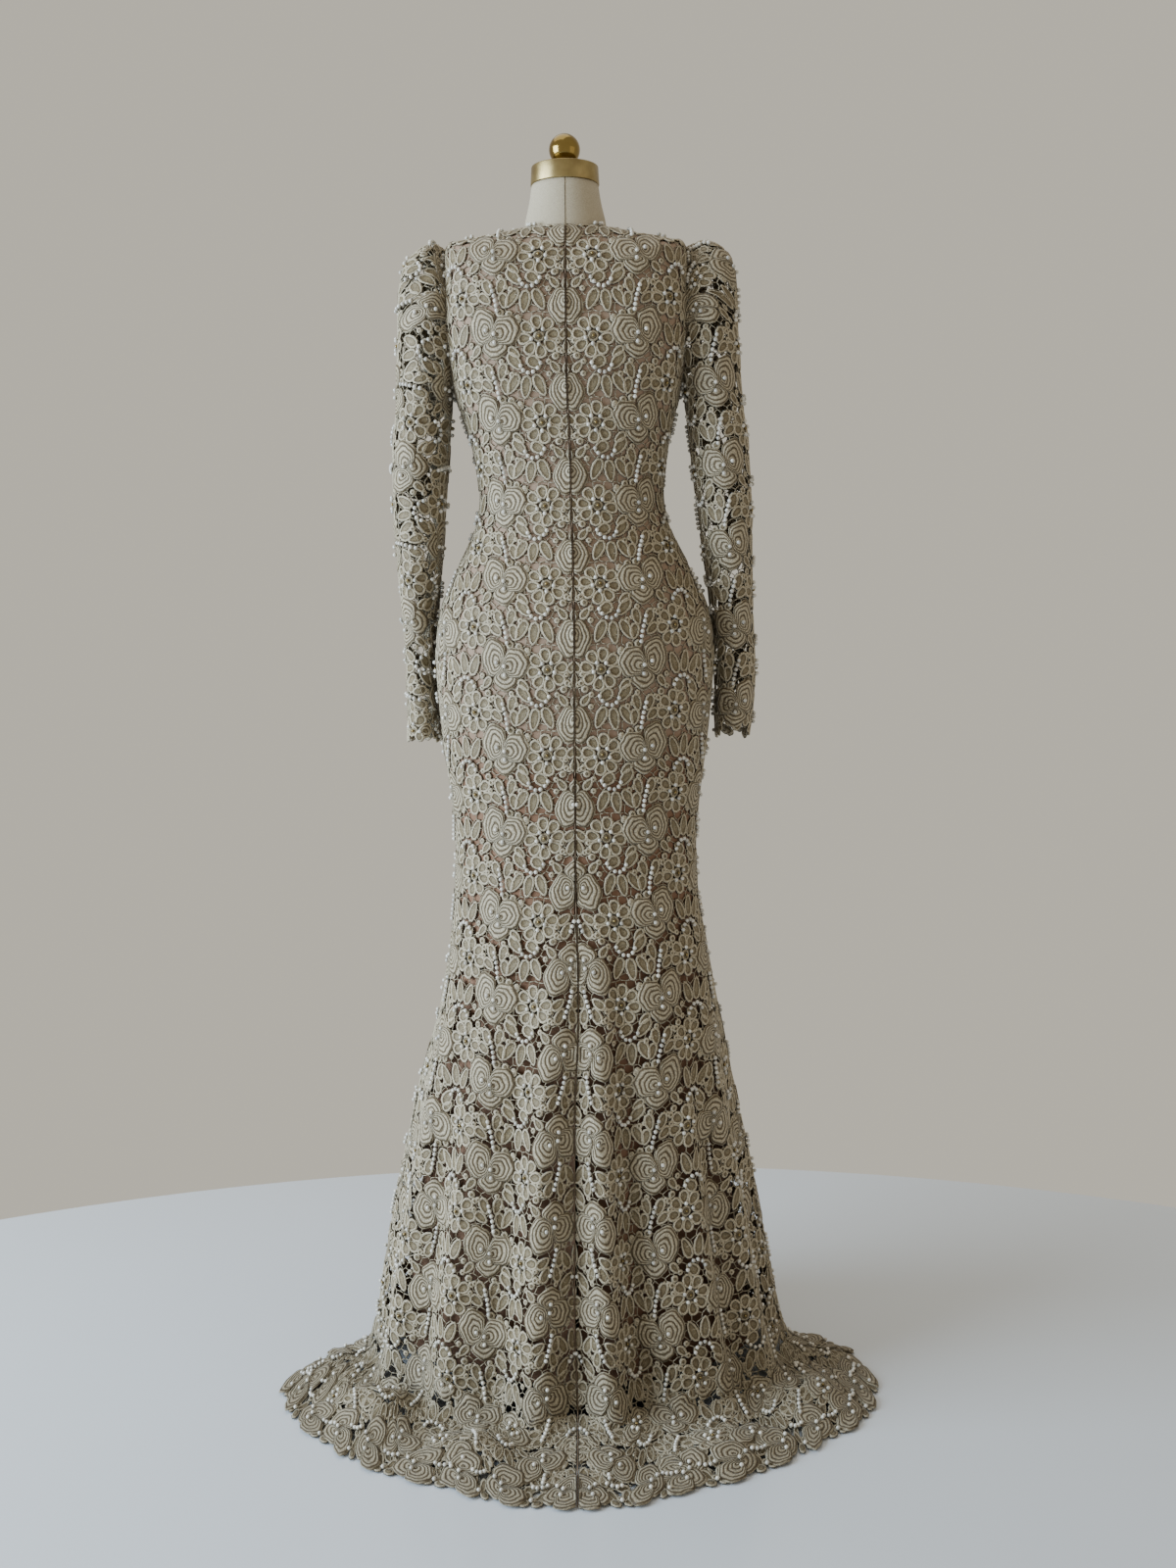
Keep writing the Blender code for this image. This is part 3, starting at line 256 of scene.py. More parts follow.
def gown_point(angle, row, folded=True):
    """The gown's surface. A superellipse through the section at `row`, at `angle` degrees from the centre
    back, moved out by the folds. Past the FLOOR row it runs outwards along the floor by the train's reach,
    and rises there in two crossing waves and in the heaps, each a bell curve both ways."""
    angle, row = np.broadcast_arrays(np.asarray(angle, float), np.asarray(row, float))
    size = smooth_columns(SECTIONS, row)
    side_z, back_z, front_z, half_width, back, front, square, middle_x = np.moveaxis(size, -1, 0)
    turn = np.radians(angle)
    sine, cosine = np.sin(turn), np.cos(turn)
    depth = np.where(cosine > 0, back, front)
    middle_z = np.where(cosine > 0, back_z, front_z)
    corner = (np.abs(sine) ** square + np.abs(cosine) ** square) ** (-1.0 / square)
    x = middle_x + half_width * sine * corner
    y = -depth * cosine * corner
    z = side_z * sine**2 + middle_z * cosine**2
    if not folded:
        return np.stack([x, y, z], -1)
    out_x, out_y = sine / half_width, -cosine / depth
    length = np.hypot(out_x, out_y)
    out_x, out_y = out_x / length, out_y / length
    along = np.clip((row - FLOOR) / TRAIN_ROWS, 0.0, 1.0 + HEM_SPARE_ROWS / TRAIN_ROWS)
    left = np.clip(1 - along, 0.0, 1.0)
    reach = np.interp(wrapped(angle), TRAIN_ANGLES, TRAIN_REACHES)
    on_floor = smoothstep(reach / FLAT_REACH)
    out = fold_depth(angle, z) * (1 - FLATTENING * along) + reach * along
    waves = np.sin(np.radians(RIPPLE_TURNS[0] * angle) + RIPPLE_DRIFTS[0] * along)
    waves = waves * np.cos(np.radians(RIPPLE_TURNS[1] * angle) - RIPPLE_DRIFTS[1] * along)
    ripple = RIPPLE * (0.5 + 0.5 * waves) * np.sin(math.pi * np.minimum(along, 1.0)) * on_floor
    for middle, far, half_angle, half_along, height in HEAPS:
        aside = wrapped(angle - middle) / half_angle
        beyond = (along - far) / half_along
        ripple += height * np.exp(-(aside**2) - beyond**2)
    ripple *= smoothstep(along / RIPPLE_EASE) * smoothstep(left / RIPPLE_EASE)
    floor_z = TRAIN_LIFT + (z - TRAIN_LIFT) * left ** (1 + TRAIN_DROP * on_floor) + ripple
    z = np.where(along > 0, floor_z, z)
    return np.stack([x + out_x * out, y + out_y * out, z], -1)


def side_edge(row, front):
    """Degrees from a panel's middle line to its side edge: 90, and less where the armhole cuts into it."""
    row = np.asarray(row, float)
    size = smooth_columns(SECTIONS, np.clip(row, SHOULDER, UNDERARM))
    top, bottom = SECTIONS[SHOULDER][SIDE_Z], SECTIONS[UNDERARM][SIDE_Z]
    share = np.clip((size[..., SIDE_Z] - bottom) / (top - bottom), 0.0, 1.0)
    depth = (ARMHOLE_FRONT if front else ARMHOLE_BACK) * np.sin(math.pi * share) ** 0.75
    away = depth / size[..., FRONT if front else BACK]
    square = size[..., SQUARE]
    angle = np.degrees(np.arctan2((1 - away**square) ** (1 / square), away))
    return np.where((row > SHOULDER) & (row < UNDERARM), angle, 90.0)


def armhole_point(turn):
    """The armhole at +X: up the back's edge as `turn` goes from 0 to 180 degrees, then down the front's."""
    share = np.where(turn <= 180, turn / 180.0, (360.0 - turn) / 180.0)
    row = UNDERARM + (SHOULDER - UNDERARM) * share
    back = gown_point(side_edge(row, False), row)
    front = gown_point(180.0 - side_edge(row, True), row)
    return np.where((turn <= 180)[..., None], back, front)


def sleeve_point(side, turn, ring):
    """A sleeve's surface at +X, an ellipse through the ring, `turn` degrees from the body side by way of
    the back. Before the first ring it runs straight from the armhole."""
    turn, ring = np.broadcast_arrays(np.asarray(turn, float), np.asarray(ring, float))
    turn = np.mod(turn, 360.0)
    size = smooth_columns(SLEEVES[side], np.maximum(ring, 1.0))
    inner_x, inner_z, outer_x, outer_z, half_depth, forward, gather = np.moveaxis(size, -1, 0)
    angle = np.radians(turn)
    swing = -np.cos(angle)
    x = (inner_x + outer_x) / 2 + (outer_x - inner_x) / 2 * swing
    z = (inner_z + outer_z) / 2 + (outer_z - inner_z) / 2 * swing
    y = forward - half_depth * np.sin(angle)
    pucker = -GATHER_DEPTH * gather * np.cos(GATHERS * angle) * smoothstep(0.5 + 0.5 * swing)
    rise = CUFF_BACK_RISE[side] * np.clip(np.sin(angle), 0, 1)
    hem = (CUFF_SCALLOP * np.cos(GATHERS * angle) + rise) * smoothstep(ring - (CUFF - 1))
    tube = np.stack([x + swing * pucker, y - np.sin(angle) * pucker, z + hem], -1)
    near = np.clip(1.0 - ring, 0.0, 1.0)[..., None]
    return tube * (1 - near) + armhole_point(turn) * near


# Charts: where on a surface each place of the flat cloth lies


CHART_STEP = 0.004
# The grids that the charts are measured on: points across, and rows down a gown panel and a sleeve
CLOTH_COLUMNS = 241
PANEL_ROWS = 460
SLEEVE_ROWS = 300


def running_length(points):
    """Length along the first axis of a line or a grid of points, from its first row."""
    steps = np.linalg.norm(np.diff(points, axis=0), axis=-1)
    return np.concatenate([np.zeros((1,) + steps.shape[1:]), np.cumsum(steps, axis=0)])


def on_line(at, length, line):
    """Points of a line at lengths along it, where `length` is that of each of its own points."""
    return np.stack([np.interp(at, length, column) for column in line.T], -1)


def table_value(table, column, row):
    """A table's value at real-valued columns and rows: its four neighbours, weighted by nearness."""
    column = np.clip(column, 0, table.shape[1] - 1.001)
    row = np.clip(row, 0, table.shape[0] - 1.001)
    i, j = column.astype(int), row.astype(int)
    s, t = column - i, row - j
    top = table[j, i] * (1 - s) + table[j, i + 1] * s
    bottom = table[j + 1, i] * (1 - s) + table[j + 1, i + 1] * s
    return top * (1 - t) + bottom * t


class Cloth:
    """A flat panel of cloth and the surface it lies on.

    surface(first, second) gives points. `down` is the cloth's length down to each point of its grid. At
    each length down, the length across is measured from the `zero` column, and the two tables of the
    surface's coordinates by length across and down are made from that.
    """

    def __init__(self, surface, first, second, down, zero, spans):
        self.surface, self.spans = surface, spans
        # Each length is greater than the one before it, also where the surface hardly moves down
        down = np.maximum.accumulate(down + np.arange(len(second))[:, None] * 1e-7, axis=0)
        self.v_low, self.v_high = float(down.min()), float(down.max())
        downs = np.arange(self.v_low, self.v_high + CHART_STEP, CHART_STEP)
        seconds = np.stack([np.interp(downs, down[:, k], second) for k in range(len(first))], axis=1)
        points = surface(np.broadcast_to(first, seconds.shape), seconds)
        across = running_length(points.swapaxes(0, 1)).T
        across = across - np.stack([np.interp(zero, first, line) for line in across])[:, None]
        self.q_low, self.q_high = float(across.min()), float(across.max())
        acrosses = np.arange(self.q_low, self.q_high + CHART_STEP, CHART_STEP)
        self.first = np.stack([np.interp(acrosses, line, first) for line in across])
        self.second = np.stack([np.interp(acrosses, line, row) for line, row in zip(across, seconds)])
        self.lines = across, seconds
        inside = (seconds > second[0]).any(axis=1) & (seconds < second[-1]).any(axis=1)
        self.widths = np.where(inside, across[:, -1] - across[:, 0], 0.0)
        cells = points[1:, 1:] - points[:-1, :-1], points[1:, :-1] - points[:-1, 1:]
        self.areas = np.linalg.norm(np.cross(*cells), axis=-1).sum(axis=1) / 2
        self.rows = second, down

    def cut(self, start=0.0, end=1.0):
        """The flat width, length and area of the cloth between two shares of its length down."""
        rows = slice(round(start * len(self.areas)), round(end * len(self.areas)))
        length = (self.v_high - self.v_low) * (end - start)
        return float(self.widths[rows].max()), length, float(self.areas[rows].sum())

    def edge(self, row):
        """A row of the surface as a line on the flat cloth: its lengths across and down."""
        second, down = self.rows
        downs = np.array([np.interp(row, second, column) for column in down.T])
        levels = self.v_low + np.arange(len(self.lines[0])) * CHART_STEP
        across = np.array([np.interp(at, levels, column) for at, column in zip(downs, self.lines[0].T)])
        return across, downs

    def normal(self, first, second):
        """The unit normal: the cross product of small steps down and across."""
        step = self.spans
        along = self.surface(first, second + step[1]) - self.surface(first, second - step[1])
        aside = self.surface(first + step[0], second) - self.surface(first - step[0], second)
        return unit(np.cross(along, aside))

    def lay(self, across, down, lift, limits):
        """Points `lift` above the panel at places of the flat cloth, which lie off it, and their rows.

        limits(first, second) gives each coordinate's lowest and highest. What lies beyond is moved to them.
        """
        column = (across - self.q_low) / CHART_STEP
        row = (down - self.v_low) / CHART_STEP
        rows, columns = self.first.shape[:2]
        beyond = (column < 0) | (column > columns - 1) | (row < 0) | (row > rows - 1)
        first = table_value(self.first, column, row)
        second = table_value(self.second, column, row)
        low, high, start, end = limits(first, second)
        off = beyond | (first <= low) | (first >= high) | (second <= start) | (second >= end)
        first, second = np.clip(first, low, high), np.clip(second, start, end)
        return self.surface(first, second) + self.normal(first, second) * lift[..., None], off, second


def height_down(height):
    """How far down the cloth a height lies, measured along the centre back from neckline to knee."""
    line = gown_point(0.0, np.linspace(0, KNEE, 400))
    length = running_length(line)
    return np.interp(-height, -line[:, 2], length) - np.clip(height - line[0, 2], 0, None)


def rows_through(row, last, count):
    """Even rows from 0 to the last, the nearest of them moved to `row`, and that one's place."""
    rows = np.linspace(0, last, count)
    place = int(np.argmin(np.abs(rows - row)))
    rows[place] = row
    return rows, place


def panel_cloth(first_angle, last_angle, zero):
    """A gown panel between two angles: level grain down to the knee, and along its own folds below it."""
    angles = np.linspace(first_angle, last_angle, CLOTH_COLUMNS)
    rows, knee = rows_through(KNEE, HEM + HEM_SPARE_ROWS, PANEL_ROWS)
    points = gown_point(*np.meshgrid(angles, rows))
    level = height_down(points[..., 2])
    down = np.concatenate([level[:knee], running_length(points[knee:]) + level[knee]])
    return Cloth(gown_point, angles, rows, down, zero, (0.2, 0.012))


def sleeve_surface(side):
    mirror = np.array([1.0 if side == "right" else -1.0, 1.0, 1.0])

    def surface(turn, ring):
        return sleeve_point(side, turn, ring) * mirror

    return surface


def sleeve_cloth(side):
    """A sleeve, measured down from its own line above the elbow and round from the line that faces back."""
    surface = sleeve_surface(side)
    turns = np.linspace(0, 360, CLOTH_COLUMNS)
    rings, anchor = rows_through(SLEEVE_ANCHOR, CUFF, SLEEVE_ROWS)
    length = running_length(surface(*np.meshgrid(turns, rings)))
    down = length - length[anchor]
    # The left sleeve's surface is mirrored, so its step round is turned to keep the normal outward
    return Cloth(surface, turns, rings, down, 90.0, (1.0 if side == "right" else -1.0, 0.02))


# Mesh shapes, in millimetres on the flat cloth: across, down and up from it


# A shape's `part` numbers its closed parts, point by point. `marks` holds what its thread's pattern reads
# at each point: how many millimetres it lies in from its lobe's rim, and 1 where the lobe is ringed with
# cords to its middle.
Shape = namedtuple("Shape", "points quads tris marks part")


def joined(shapes):
    """Several shapes as one, the faces and parts of each counted on from those before it."""
    starts = np.cumsum([0] + [len(shape.points) for shape in shapes[:-1]])
    parts = np.cumsum([0] + [shape.part.max() + 1 for shape in shapes[:-1]])
    return Shape(
        np.concatenate([shape.points for shape in shapes]),
        np.concatenate([shape.quads + start for shape, start in zip(shapes, starts)]),
        np.concatenate([shape.tris + start for shape, start in zip(shapes, starts)]),
        np.concatenate([shape.marks for shape in shapes]),
        np.concatenate([shape.part + first for shape, first in zip(shapes, parts)]),
    )


def repeated(shape, offsets):
    """Copies of a shape at each offset, as one shape."""
    count, size, parts = len(offsets), len(shape.points), shape.part.max() + 1
    points = (shape.points[None] + offsets[:, None]).reshape(-1, 3)
    copy = np.arange(count)
    starts = (copy * size)[:, None, None]
    return Shape(
        points,
        (shape.quads[None] + starts).reshape(-1, 4),
        (shape.tris[None] + starts).reshape(-1, 3),
        np.tile(shape.marks, (count, 1)),
        (shape.part[None] + (copy * parts)[:, None]).ravel(),
    )


def turned_over(shape):
    return shape._replace(quads=shape.quads[:, ::-1], tris=shape.tris[:, ::-1])


def faced_out(shape):
    """A shape with its faces outward: turned over if its volume, summed over its faces, is below zero."""
    centred = shape.points - shape.points.mean(axis=0)
    corners = np.concatenate([shape.quads[:, [0, 1, 2]], shape.quads[:, [0, 2, 3]], shape.tris])
    a, b, c = (centred[corners[:, k]] for k in range(3))
    return turned_over(shape) if (a * np.cross(b, c)).sum() < 0 else shape


def only_parts(shape, kept):
    """A shape's parts for which kept[part] is true."""
    points = kept[shape.part]
    number = np.cumsum(points) - 1
    quads = shape.quads[points[shape.quads[:, 0]]]
    tris = shape.tris[points[shape.tris[:, 0]]]
    return Shape(shape.points[points], number[quads], number[tris], shape.marks[points], shape.part[points])


def placed(shape, across, down, turn=0.0, flip=False, lift=0.0):
    """A shape turned by `turn` degrees, mirrored top to bottom where flip is true, and moved."""
    angle = math.radians(turn)
    points = shape.points.copy()
    x, y = shape.points[:, 0], shape.points[:, 1]
    points[:, 0] = x * math.cos(angle) - y * math.sin(angle) + across
    points[:, 1] = x * math.sin(angle) + y * math.cos(angle) + down
    points[:, 2] += lift
    if not flip:
        return shape._replace(points=points)
    points[:, 1] *= -1
    return turned_over(shape._replace(points=points))


# How a lobe's rings step in from its rim: the inset and the height of each, and the height of the lobe's
# middle. A petal is one thick cord round a sunk mesh.
PETAL_RINGS = {"rings": ((0.0, 0.2), (0.9, 1.7), (2.5, 1.8), (3.4, 0.7)), "middle": 0.5}
LEAF_RINGS = {"rings": ((0.0, 0.2), (1.6, 1.8), (3.4, 0.8)), "middle": 0.7}
DISC_RINGS = {"rings": ((0.0, 0.2), (1.5, 1.8)), "middle": 1.1}
HEART_RINGS = {"rings": ((0.0, 0.6), (3.2, 1.3)), "middle": 1.1}
ROSE_RINGS = {"rings": ((0.0, 0.2), (1.4, 2.0), (6.0, 1.9)), "middle": 1.2}
# The innermost ring stops at this share of the lobe's half width
INNERMOST = 0.75


def lobe(count, half_length, half_width, rings, middle, egg=0.0, drift=(0.0, 0.0), scallops=(0, 0.0),
         ringed=False):
    """A closed corded lobe. Ring k is an ellipse of both half sizes less its inset, narrowed towards its
    far end by `egg`, its rim waved by `scallops`, and its middle moved along `drift` as the inset grows."""
    turn = np.arange(count) * 2 * math.pi / count
    deepest = min(half_length, half_width)
    points, insets = [], []
    for inset, height in rings:
        inset = min(inset, deepest * INNERMOST)
        share = inset / deepest
        wave = 1 + scallops[1] * np.cos(scallops[0] * turn) * (1 - share)
        x = (half_length - inset) * np.cos(turn) * wave + drift[0] * share
        y = (half_width - inset) * np.sin(turn) * (1 - egg * np.cos(turn)) * wave + drift[1] * share
        points.append(np.stack([x, y, np.full(count, height)], -1))
        insets += [inset] * count
    last = len(rings) * count
    points.append(np.array([[drift[0], drift[1], middle], [0.0, 0.0, 0.0]]))
    insets += [deepest, deepest]
    here = np.arange(count)
    there = (here + 1) % count
    quads = [np.stack([k + here, k + there, k + count + there, k + count + here], -1)
             for k in range(0, last - count, count)]
    top = np.stack([last - count + here, last - count + there, np.full(count, last)], -1)
    bottom = np.stack([there, here, np.full(count, last + 1)], -1)
    faces = np.concatenate(quads), np.concatenate([top, bottom])
    marks = np.column_stack([insets, np.full(last + 2, float(ringed))])
    return Shape(np.concatenate(points), *faces, marks, np.zeros(last + 2, int))


# One repeat of the lace, charted in millimetres. Across is away from the centre back seam.
REPEAT_ACROSS = 192.0
REPEAT_DOWN = 99.0
COLUMNS = (32.0, 85.0, 128.0, 181.0)

Leaf = namedtuple("Leaf", "across down half_length half_width turn")


def disc(across, down, radius):
    """A round leaf."""
    return Leaf(across, down, radius, radius, 0)


# A daisy's petals, one of which is charted, and its middle
PETALS = 8
PETAL = Leaf(16.8, 0.0, 9.6, 7.8, 0)
FIRST_PETAL_TURN = 8.0
DAISY_HEART = disc(0.0, 0.0, 7.8)
# A rose's three big lobes
ROSE_FAN = Leaf(-15.0, -8.0, 17.5, 18.5, 0)
ROSE_OUTER = Leaf(15.0, -14.5, 17.0, 22.5, 0)
ROSE_LOWER = Leaf(-0.5, 12.0, 15.5, 13.0, 0)
# The small leaves and discs of each motif, and of the knots in the hem's border
LEAVES = {
    "daisy": (),
    "palm": (
        Leaf(29.0, 28.0, 13.6, 7.8, 130),
        Leaf(6.0, 29.5, 11.0, 8.4, 145),
        Leaf(31.5, 53.5, 14.4, 7.6, 58),
        Leaf(16.0, 57.5, 14.8, 7.8, 82),
        Leaf(-0.5, 55.5, 15.0, 7.8, 114),
    ),
    "rose": (Leaf(-23.5, 17.5, 10.0, 6.0, 140), Leaf(24.5, 14.5, 9.5, 6.0, 50)),
    "cluster": (
        Leaf(-8.5, -60.0, 11.5, 7.2, 74),
        Leaf(8.0, -59.5, 11.5, 7.2, 108),
        Leaf(-11.5, -43.0, 11.0, 7.2, 98),
        Leaf(11.5, -46.0, 10.5, 7.0, 140),
    ),
    "knot": (Leaf(-8.0, -14.0, 11.0, 6.0, 65), Leaf(8.0, -14.0, 11.0, 6.0, 115)),
}
DISCS = {
    "daisy": (
        disc(-19.5, 22.5, 5.4), disc(-27.5, 17.0, 4.4), disc(-11.5, 29.0, 4.4), disc(24.0, -19.5, 5.0),
    ),
    "palm": (disc(-12.0, 43.0, 4.4), disc(38.5, 40.0, 4.0)),
    "rose": (
        disc(-7.0, -28.5, 6.0), disc(-18.0, -26.5, 5.4), disc(-28.5, -22.0, 4.6), disc(-8.0, 27.5, 4.4),
    ),
    "cluster": (disc(19.5, -65.0, 5.0), disc(20.5, -55.0, 4.4), disc(-20.5, -56.0, 4.6)),
    "knot": (disc(-8.5, -1.5, 8.0), disc(8.5, -1.5, 8.0), disc(0.0, -9.0, 5.5)),
}
# Where the pearls are sewn; a daisy's are a ring of five
PEARL_RING = 9.2
PEARL_TURNS = np.radians(np.arange(5) * 72.0 + 20.0)
PEARLS = {
    "daisy": tuple((PEARL_RING * math.cos(turn), PEARL_RING * math.sin(turn)) for turn in PEARL_TURNS),
    "palm": ((-2.0, 30.5), (1.5, 36.0), (7.0, 40.2), (13.0, 41.0), (18.4, 38.2), (21.5, 33.0)),
    "rose": ((10.0, -9.0), (0.0, -4.5), (-0.5, 5.5)),
    "cluster": ((2.6, -60.0), (1.0, -54.2), (-0.8, -48.4), (-2.2, -42.6), (-3.2, -36.8), (-4.0, -31.0)),
}
# How high the cloth stands where a pearl or a daisy's gold bead is sewn
PEARL_HEIGHT = 1.2
BEAD_HEIGHT = 1.0


def petal_leaves():
    """The petals as leaves, each the charted one turned about the daisy's middle."""
    turns = np.radians(np.arange(PETALS) * 360.0 / PETALS + FIRST_PETAL_TURN)
    far = PETAL.across
    return [PETAL._replace(across=far * math.cos(turn), down=far * math.sin(turn), turn=math.degrees(turn))
            for turn in turns]


def leaf_shape(leaf, count=10, profile=LEAF_RINGS, **shape):
    made = lobe(count, leaf.half_length, leaf.half_width, **profile, **shape)
    return placed(made, leaf.across, leaf.down, leaf.turn)


def daisy_lobes():
    """Eight corded petals, widest at their outer ends, round a sunk middle."""
    petals = [leaf_shape(petal, 10, PETAL_RINGS, egg=-0.28) for petal in petal_leaves()]
    return joined([*petals, leaf_shape(DAISY_HEART, 8, HEART_RINGS)])


def rose_lobes():
    """Three big lobes of ringed cords, the outer one lowest and the fan on top. The rings of each crowd
    towards the rose's middle, so that they open outward like a shell's."""
    outer = leaf_shape(ROSE_OUTER, 22, ROSE_RINGS, drift=(-5.0, 7.0), scallops=(5, 0.06), ringed=True)
    lower = leaf_shape(ROSE_LOWER, 20, ROSE_RINGS, drift=(1.0, -8.0), scallops=(4, 0.08), ringed=True)
    fan = leaf_shape(ROSE_FAN, 22, ROSE_RINGS, drift=(12.5, 5.0), scallops=(6, 0.05), ringed=True)
    return joined([outer, placed(lower, 0.0, 0.0, lift=0.5), placed(fan, 0.0, 0.0, lift=1.0)])


def motif_shape(kind):
    """A motif: its petals or ringed lobes, its leaves, narrower at their outer ends, and its discs."""
    big = {"daisy": daisy_lobes, "rose": rose_lobes}
    shapes = [big[kind]()] if kind in big else []
    shapes += [leaf_shape(leaf, egg=0.25) for leaf in LEAVES[kind]]
    return joined(shapes + [leaf_shape(leaf, 7, DISC_RINGS) for leaf in DISCS[kind]])


def motif_places():
    """The repeat's motifs: what each is, where, and whether it is turned top to bottom. The second half of
    the repeat is the first one mirrored, two columns on and half a repeat down."""
    first = (("daisy", 0), ("palm", 0), ("rose", 1), ("cluster", 1))
    return [(kind, COLUMNS[column + 2 * half], half * REPEAT_DOWN / 2, half == 1)
            for half in (0, 1) for kind, column in first]


def motif_lobes():
    """Every lobe of the repeat as a leaf in its own place, for keeping the net clear of it."""
    big = {"daisy": (*petal_leaves(), DAISY_HEART), "rose": (ROSE_FAN, ROSE_OUTER, ROSE_LOWER)}
    lobes = []
    for kind, across, down, flip in motif_places():
        sign = -1 if flip else 1
        for leaf in (*big.get(kind, ()), *LEAVES[kind], *DISCS[kind]):
            lobes.append(leaf._replace(across=across + leaf.across, down=down + sign * leaf.down,
                                       turn=sign * leaf.turn))
    return lobes


def repeat_motifs():
    """All the motifs of one repeat as one shape."""
    return joined([placed(placed(motif_shape(kind), 0.0, 0.0, flip=flip), across, down)
                   for kind, across, down, flip in motif_places()])


def repeat_pearls():
    """Where the repeat's pearls and its gold beads sit: across, down and the height of the cloth there."""
    pearls, beads = [], []
    for kind, across, down, flip in motif_places():
        sign = -1 if flip else 1
        pearls += [(across + a, down + sign * d, PEARL_HEIGHT) for a, d in PEARLS[kind]]
        if kind == "daisy":
            beads.append((across, down, BEAD_HEIGHT))
    return np.array(pearls), np.array(beads)


# The net between the motifs: hexagons over one repeat, their corners moved a little at random
NET_COLUMNS = 15
NET_ROWS = 10
NET_JITTER = 2.2
NET_SEED = 7
# How far under a motif's rim a bar's ends, and its middle, have to lie for the bar to be left out
END_HIDDEN = 1.6
MIDDLE_HIDDEN = 0.6
# A bar's section is a triangle: its width, the heights of its foot and its ridge, and its marks, by which
# the thread material draws its ridge light
BAR_WIDTH = 1.2
BAR_FOOT = 0.1
BAR_HEIGHT = 1.1
BAR_MARKS = ((0.5, 0.0), (1.6, 0.0), (0.5, 0.0))


def inside_lobes(points, inset):
    """Which points lie inside a lobe of any neighbouring repeat, at least `inset` from its rim."""
    found = np.zeros(len(points), bool)
    for across, down, length, width, turn in motif_lobes():
        angle = math.radians(turn)
        dx = (points[:, 0] - across + REPEAT_ACROSS / 2) % REPEAT_ACROSS - REPEAT_ACROSS / 2
        dy = (points[:, 1] - down + REPEAT_DOWN / 2) % REPEAT_DOWN - REPEAT_DOWN / 2
        x = dx * math.cos(angle) + dy * math.sin(angle)
        y = dy * math.cos(angle) - dx * math.sin(angle)
        found |= (x / (length - inset)) ** 2 + (y / (width - inset)) ** 2 < 1
    return found


def repeat_net():
    """Short bars along a hexagon net's edges, left out where their ends and middle lie under motifs."""
    chance = np.random.default_rng(NET_SEED)
    wide, high = REPEAT_ACROSS / NET_COLUMNS, REPEAT_DOWN / NET_ROWS
    column, row = np.meshgrid(np.arange(NET_COLUMNS), np.arange(NET_ROWS))
    column, row = column.ravel(), row.ravel()
    nudge = chance.uniform(-NET_JITTER, NET_JITTER, (NET_ROWS, NET_COLUMNS, 2, 2))

    def corner(c, r, which):
        """Corner 0 is a hexagon's top, 1 its upper left, both nudged alike in every repeat."""
        x = (c + (r % 2) * 0.5) * wide + (0.0 if which == 0 else -wide / 2)
        y = r * high + (0.0 if which == 0 else high / 3)
        return np.stack([x, y], -1) + nudge[r % NET_ROWS, c % NET_COLUMNS, which]

    top, left = corner(column, row, 0), corner(column, row, 1)
    right = corner(column + 1, row, 1)
    below_column = np.where(row % 2 == 0, column - 1, column)
    below = corner(below_column, row + 1, 0)
    starts = np.concatenate([top, top, left])
    ends = np.concatenate([left, right, below])
    hidden = inside_lobes(starts, END_HIDDEN) & inside_lobes(ends, END_HIDDEN)
    hidden &= inside_lobes((starts + ends) / 2, MIDDLE_HIDDEN)
    starts, ends = starts[~hidden], ends[~hidden]
    aside = unit(np.stack([starts[:, 1] - ends[:, 1], ends[:, 0] - starts[:, 0]], -1)) * BAR_WIDTH / 2
    corners = []
    for at in (starts, ends):
        for place, height in ((at + aside, BAR_FOOT), (at, BAR_HEIGHT), (at - aside, BAR_FOOT)):
            corners.append(np.column_stack([place, np.full(len(at), height)]))
    points = np.stack(corners, axis=1).reshape(-1, 3)
    first = (np.arange(len(starts)) * 6)[:, None]
    sides = np.array([[0, 3, 4, 1], [1, 4, 5, 2], [2, 5, 3, 0]])
    caps = np.array([[0, 1, 2], [5, 4, 3]])
    quads = (first[:, None] + sides).reshape(-1, 4)
    tris = (first[:, None] + caps).reshape(-1, 3)
    marks = np.tile(BAR_MARKS, (2 * len(starts), 1))
    return Shape(points, quads, tris, marks, np.repeat(np.arange(len(starts)), 6))


def repeat_offsets(across, down, start):
    """Offsets of the repeats over a stretch of cloth, in millimetres. `start` is the place of one."""
    first, last = (math.floor((end - start[0]) / REPEAT_ACROSS) for end in across)
    top, bottom = (math.floor((end - start[1]) / REPEAT_DOWN) for end in down)
    columns, rows = np.meshgrid(np.arange(first - 1, last + 1), np.arange(top - 1, bottom + 2))
    return np.stack([columns.ravel() * REPEAT_ACROSS + start[0], rows.ravel() * REPEAT_DOWN + start[1],
                     np.zeros(columns.size)], -1)


# Laying the lace on a panel


# How far a pearl's middle stands over what it is sewn to, by its radius
BALL_PROUD = 0.8
# Half the length of the border's line that gives a motif its direction, in metres
BORDER_STEP = 0.012


def grain_shift(down):
    """How far the seam edge lies from the lace's straight grain at lengths down the cloth, in metres."""
    return np.interp(-down, -GRAIN_DOWNS, GRAIN_SHIFTS)


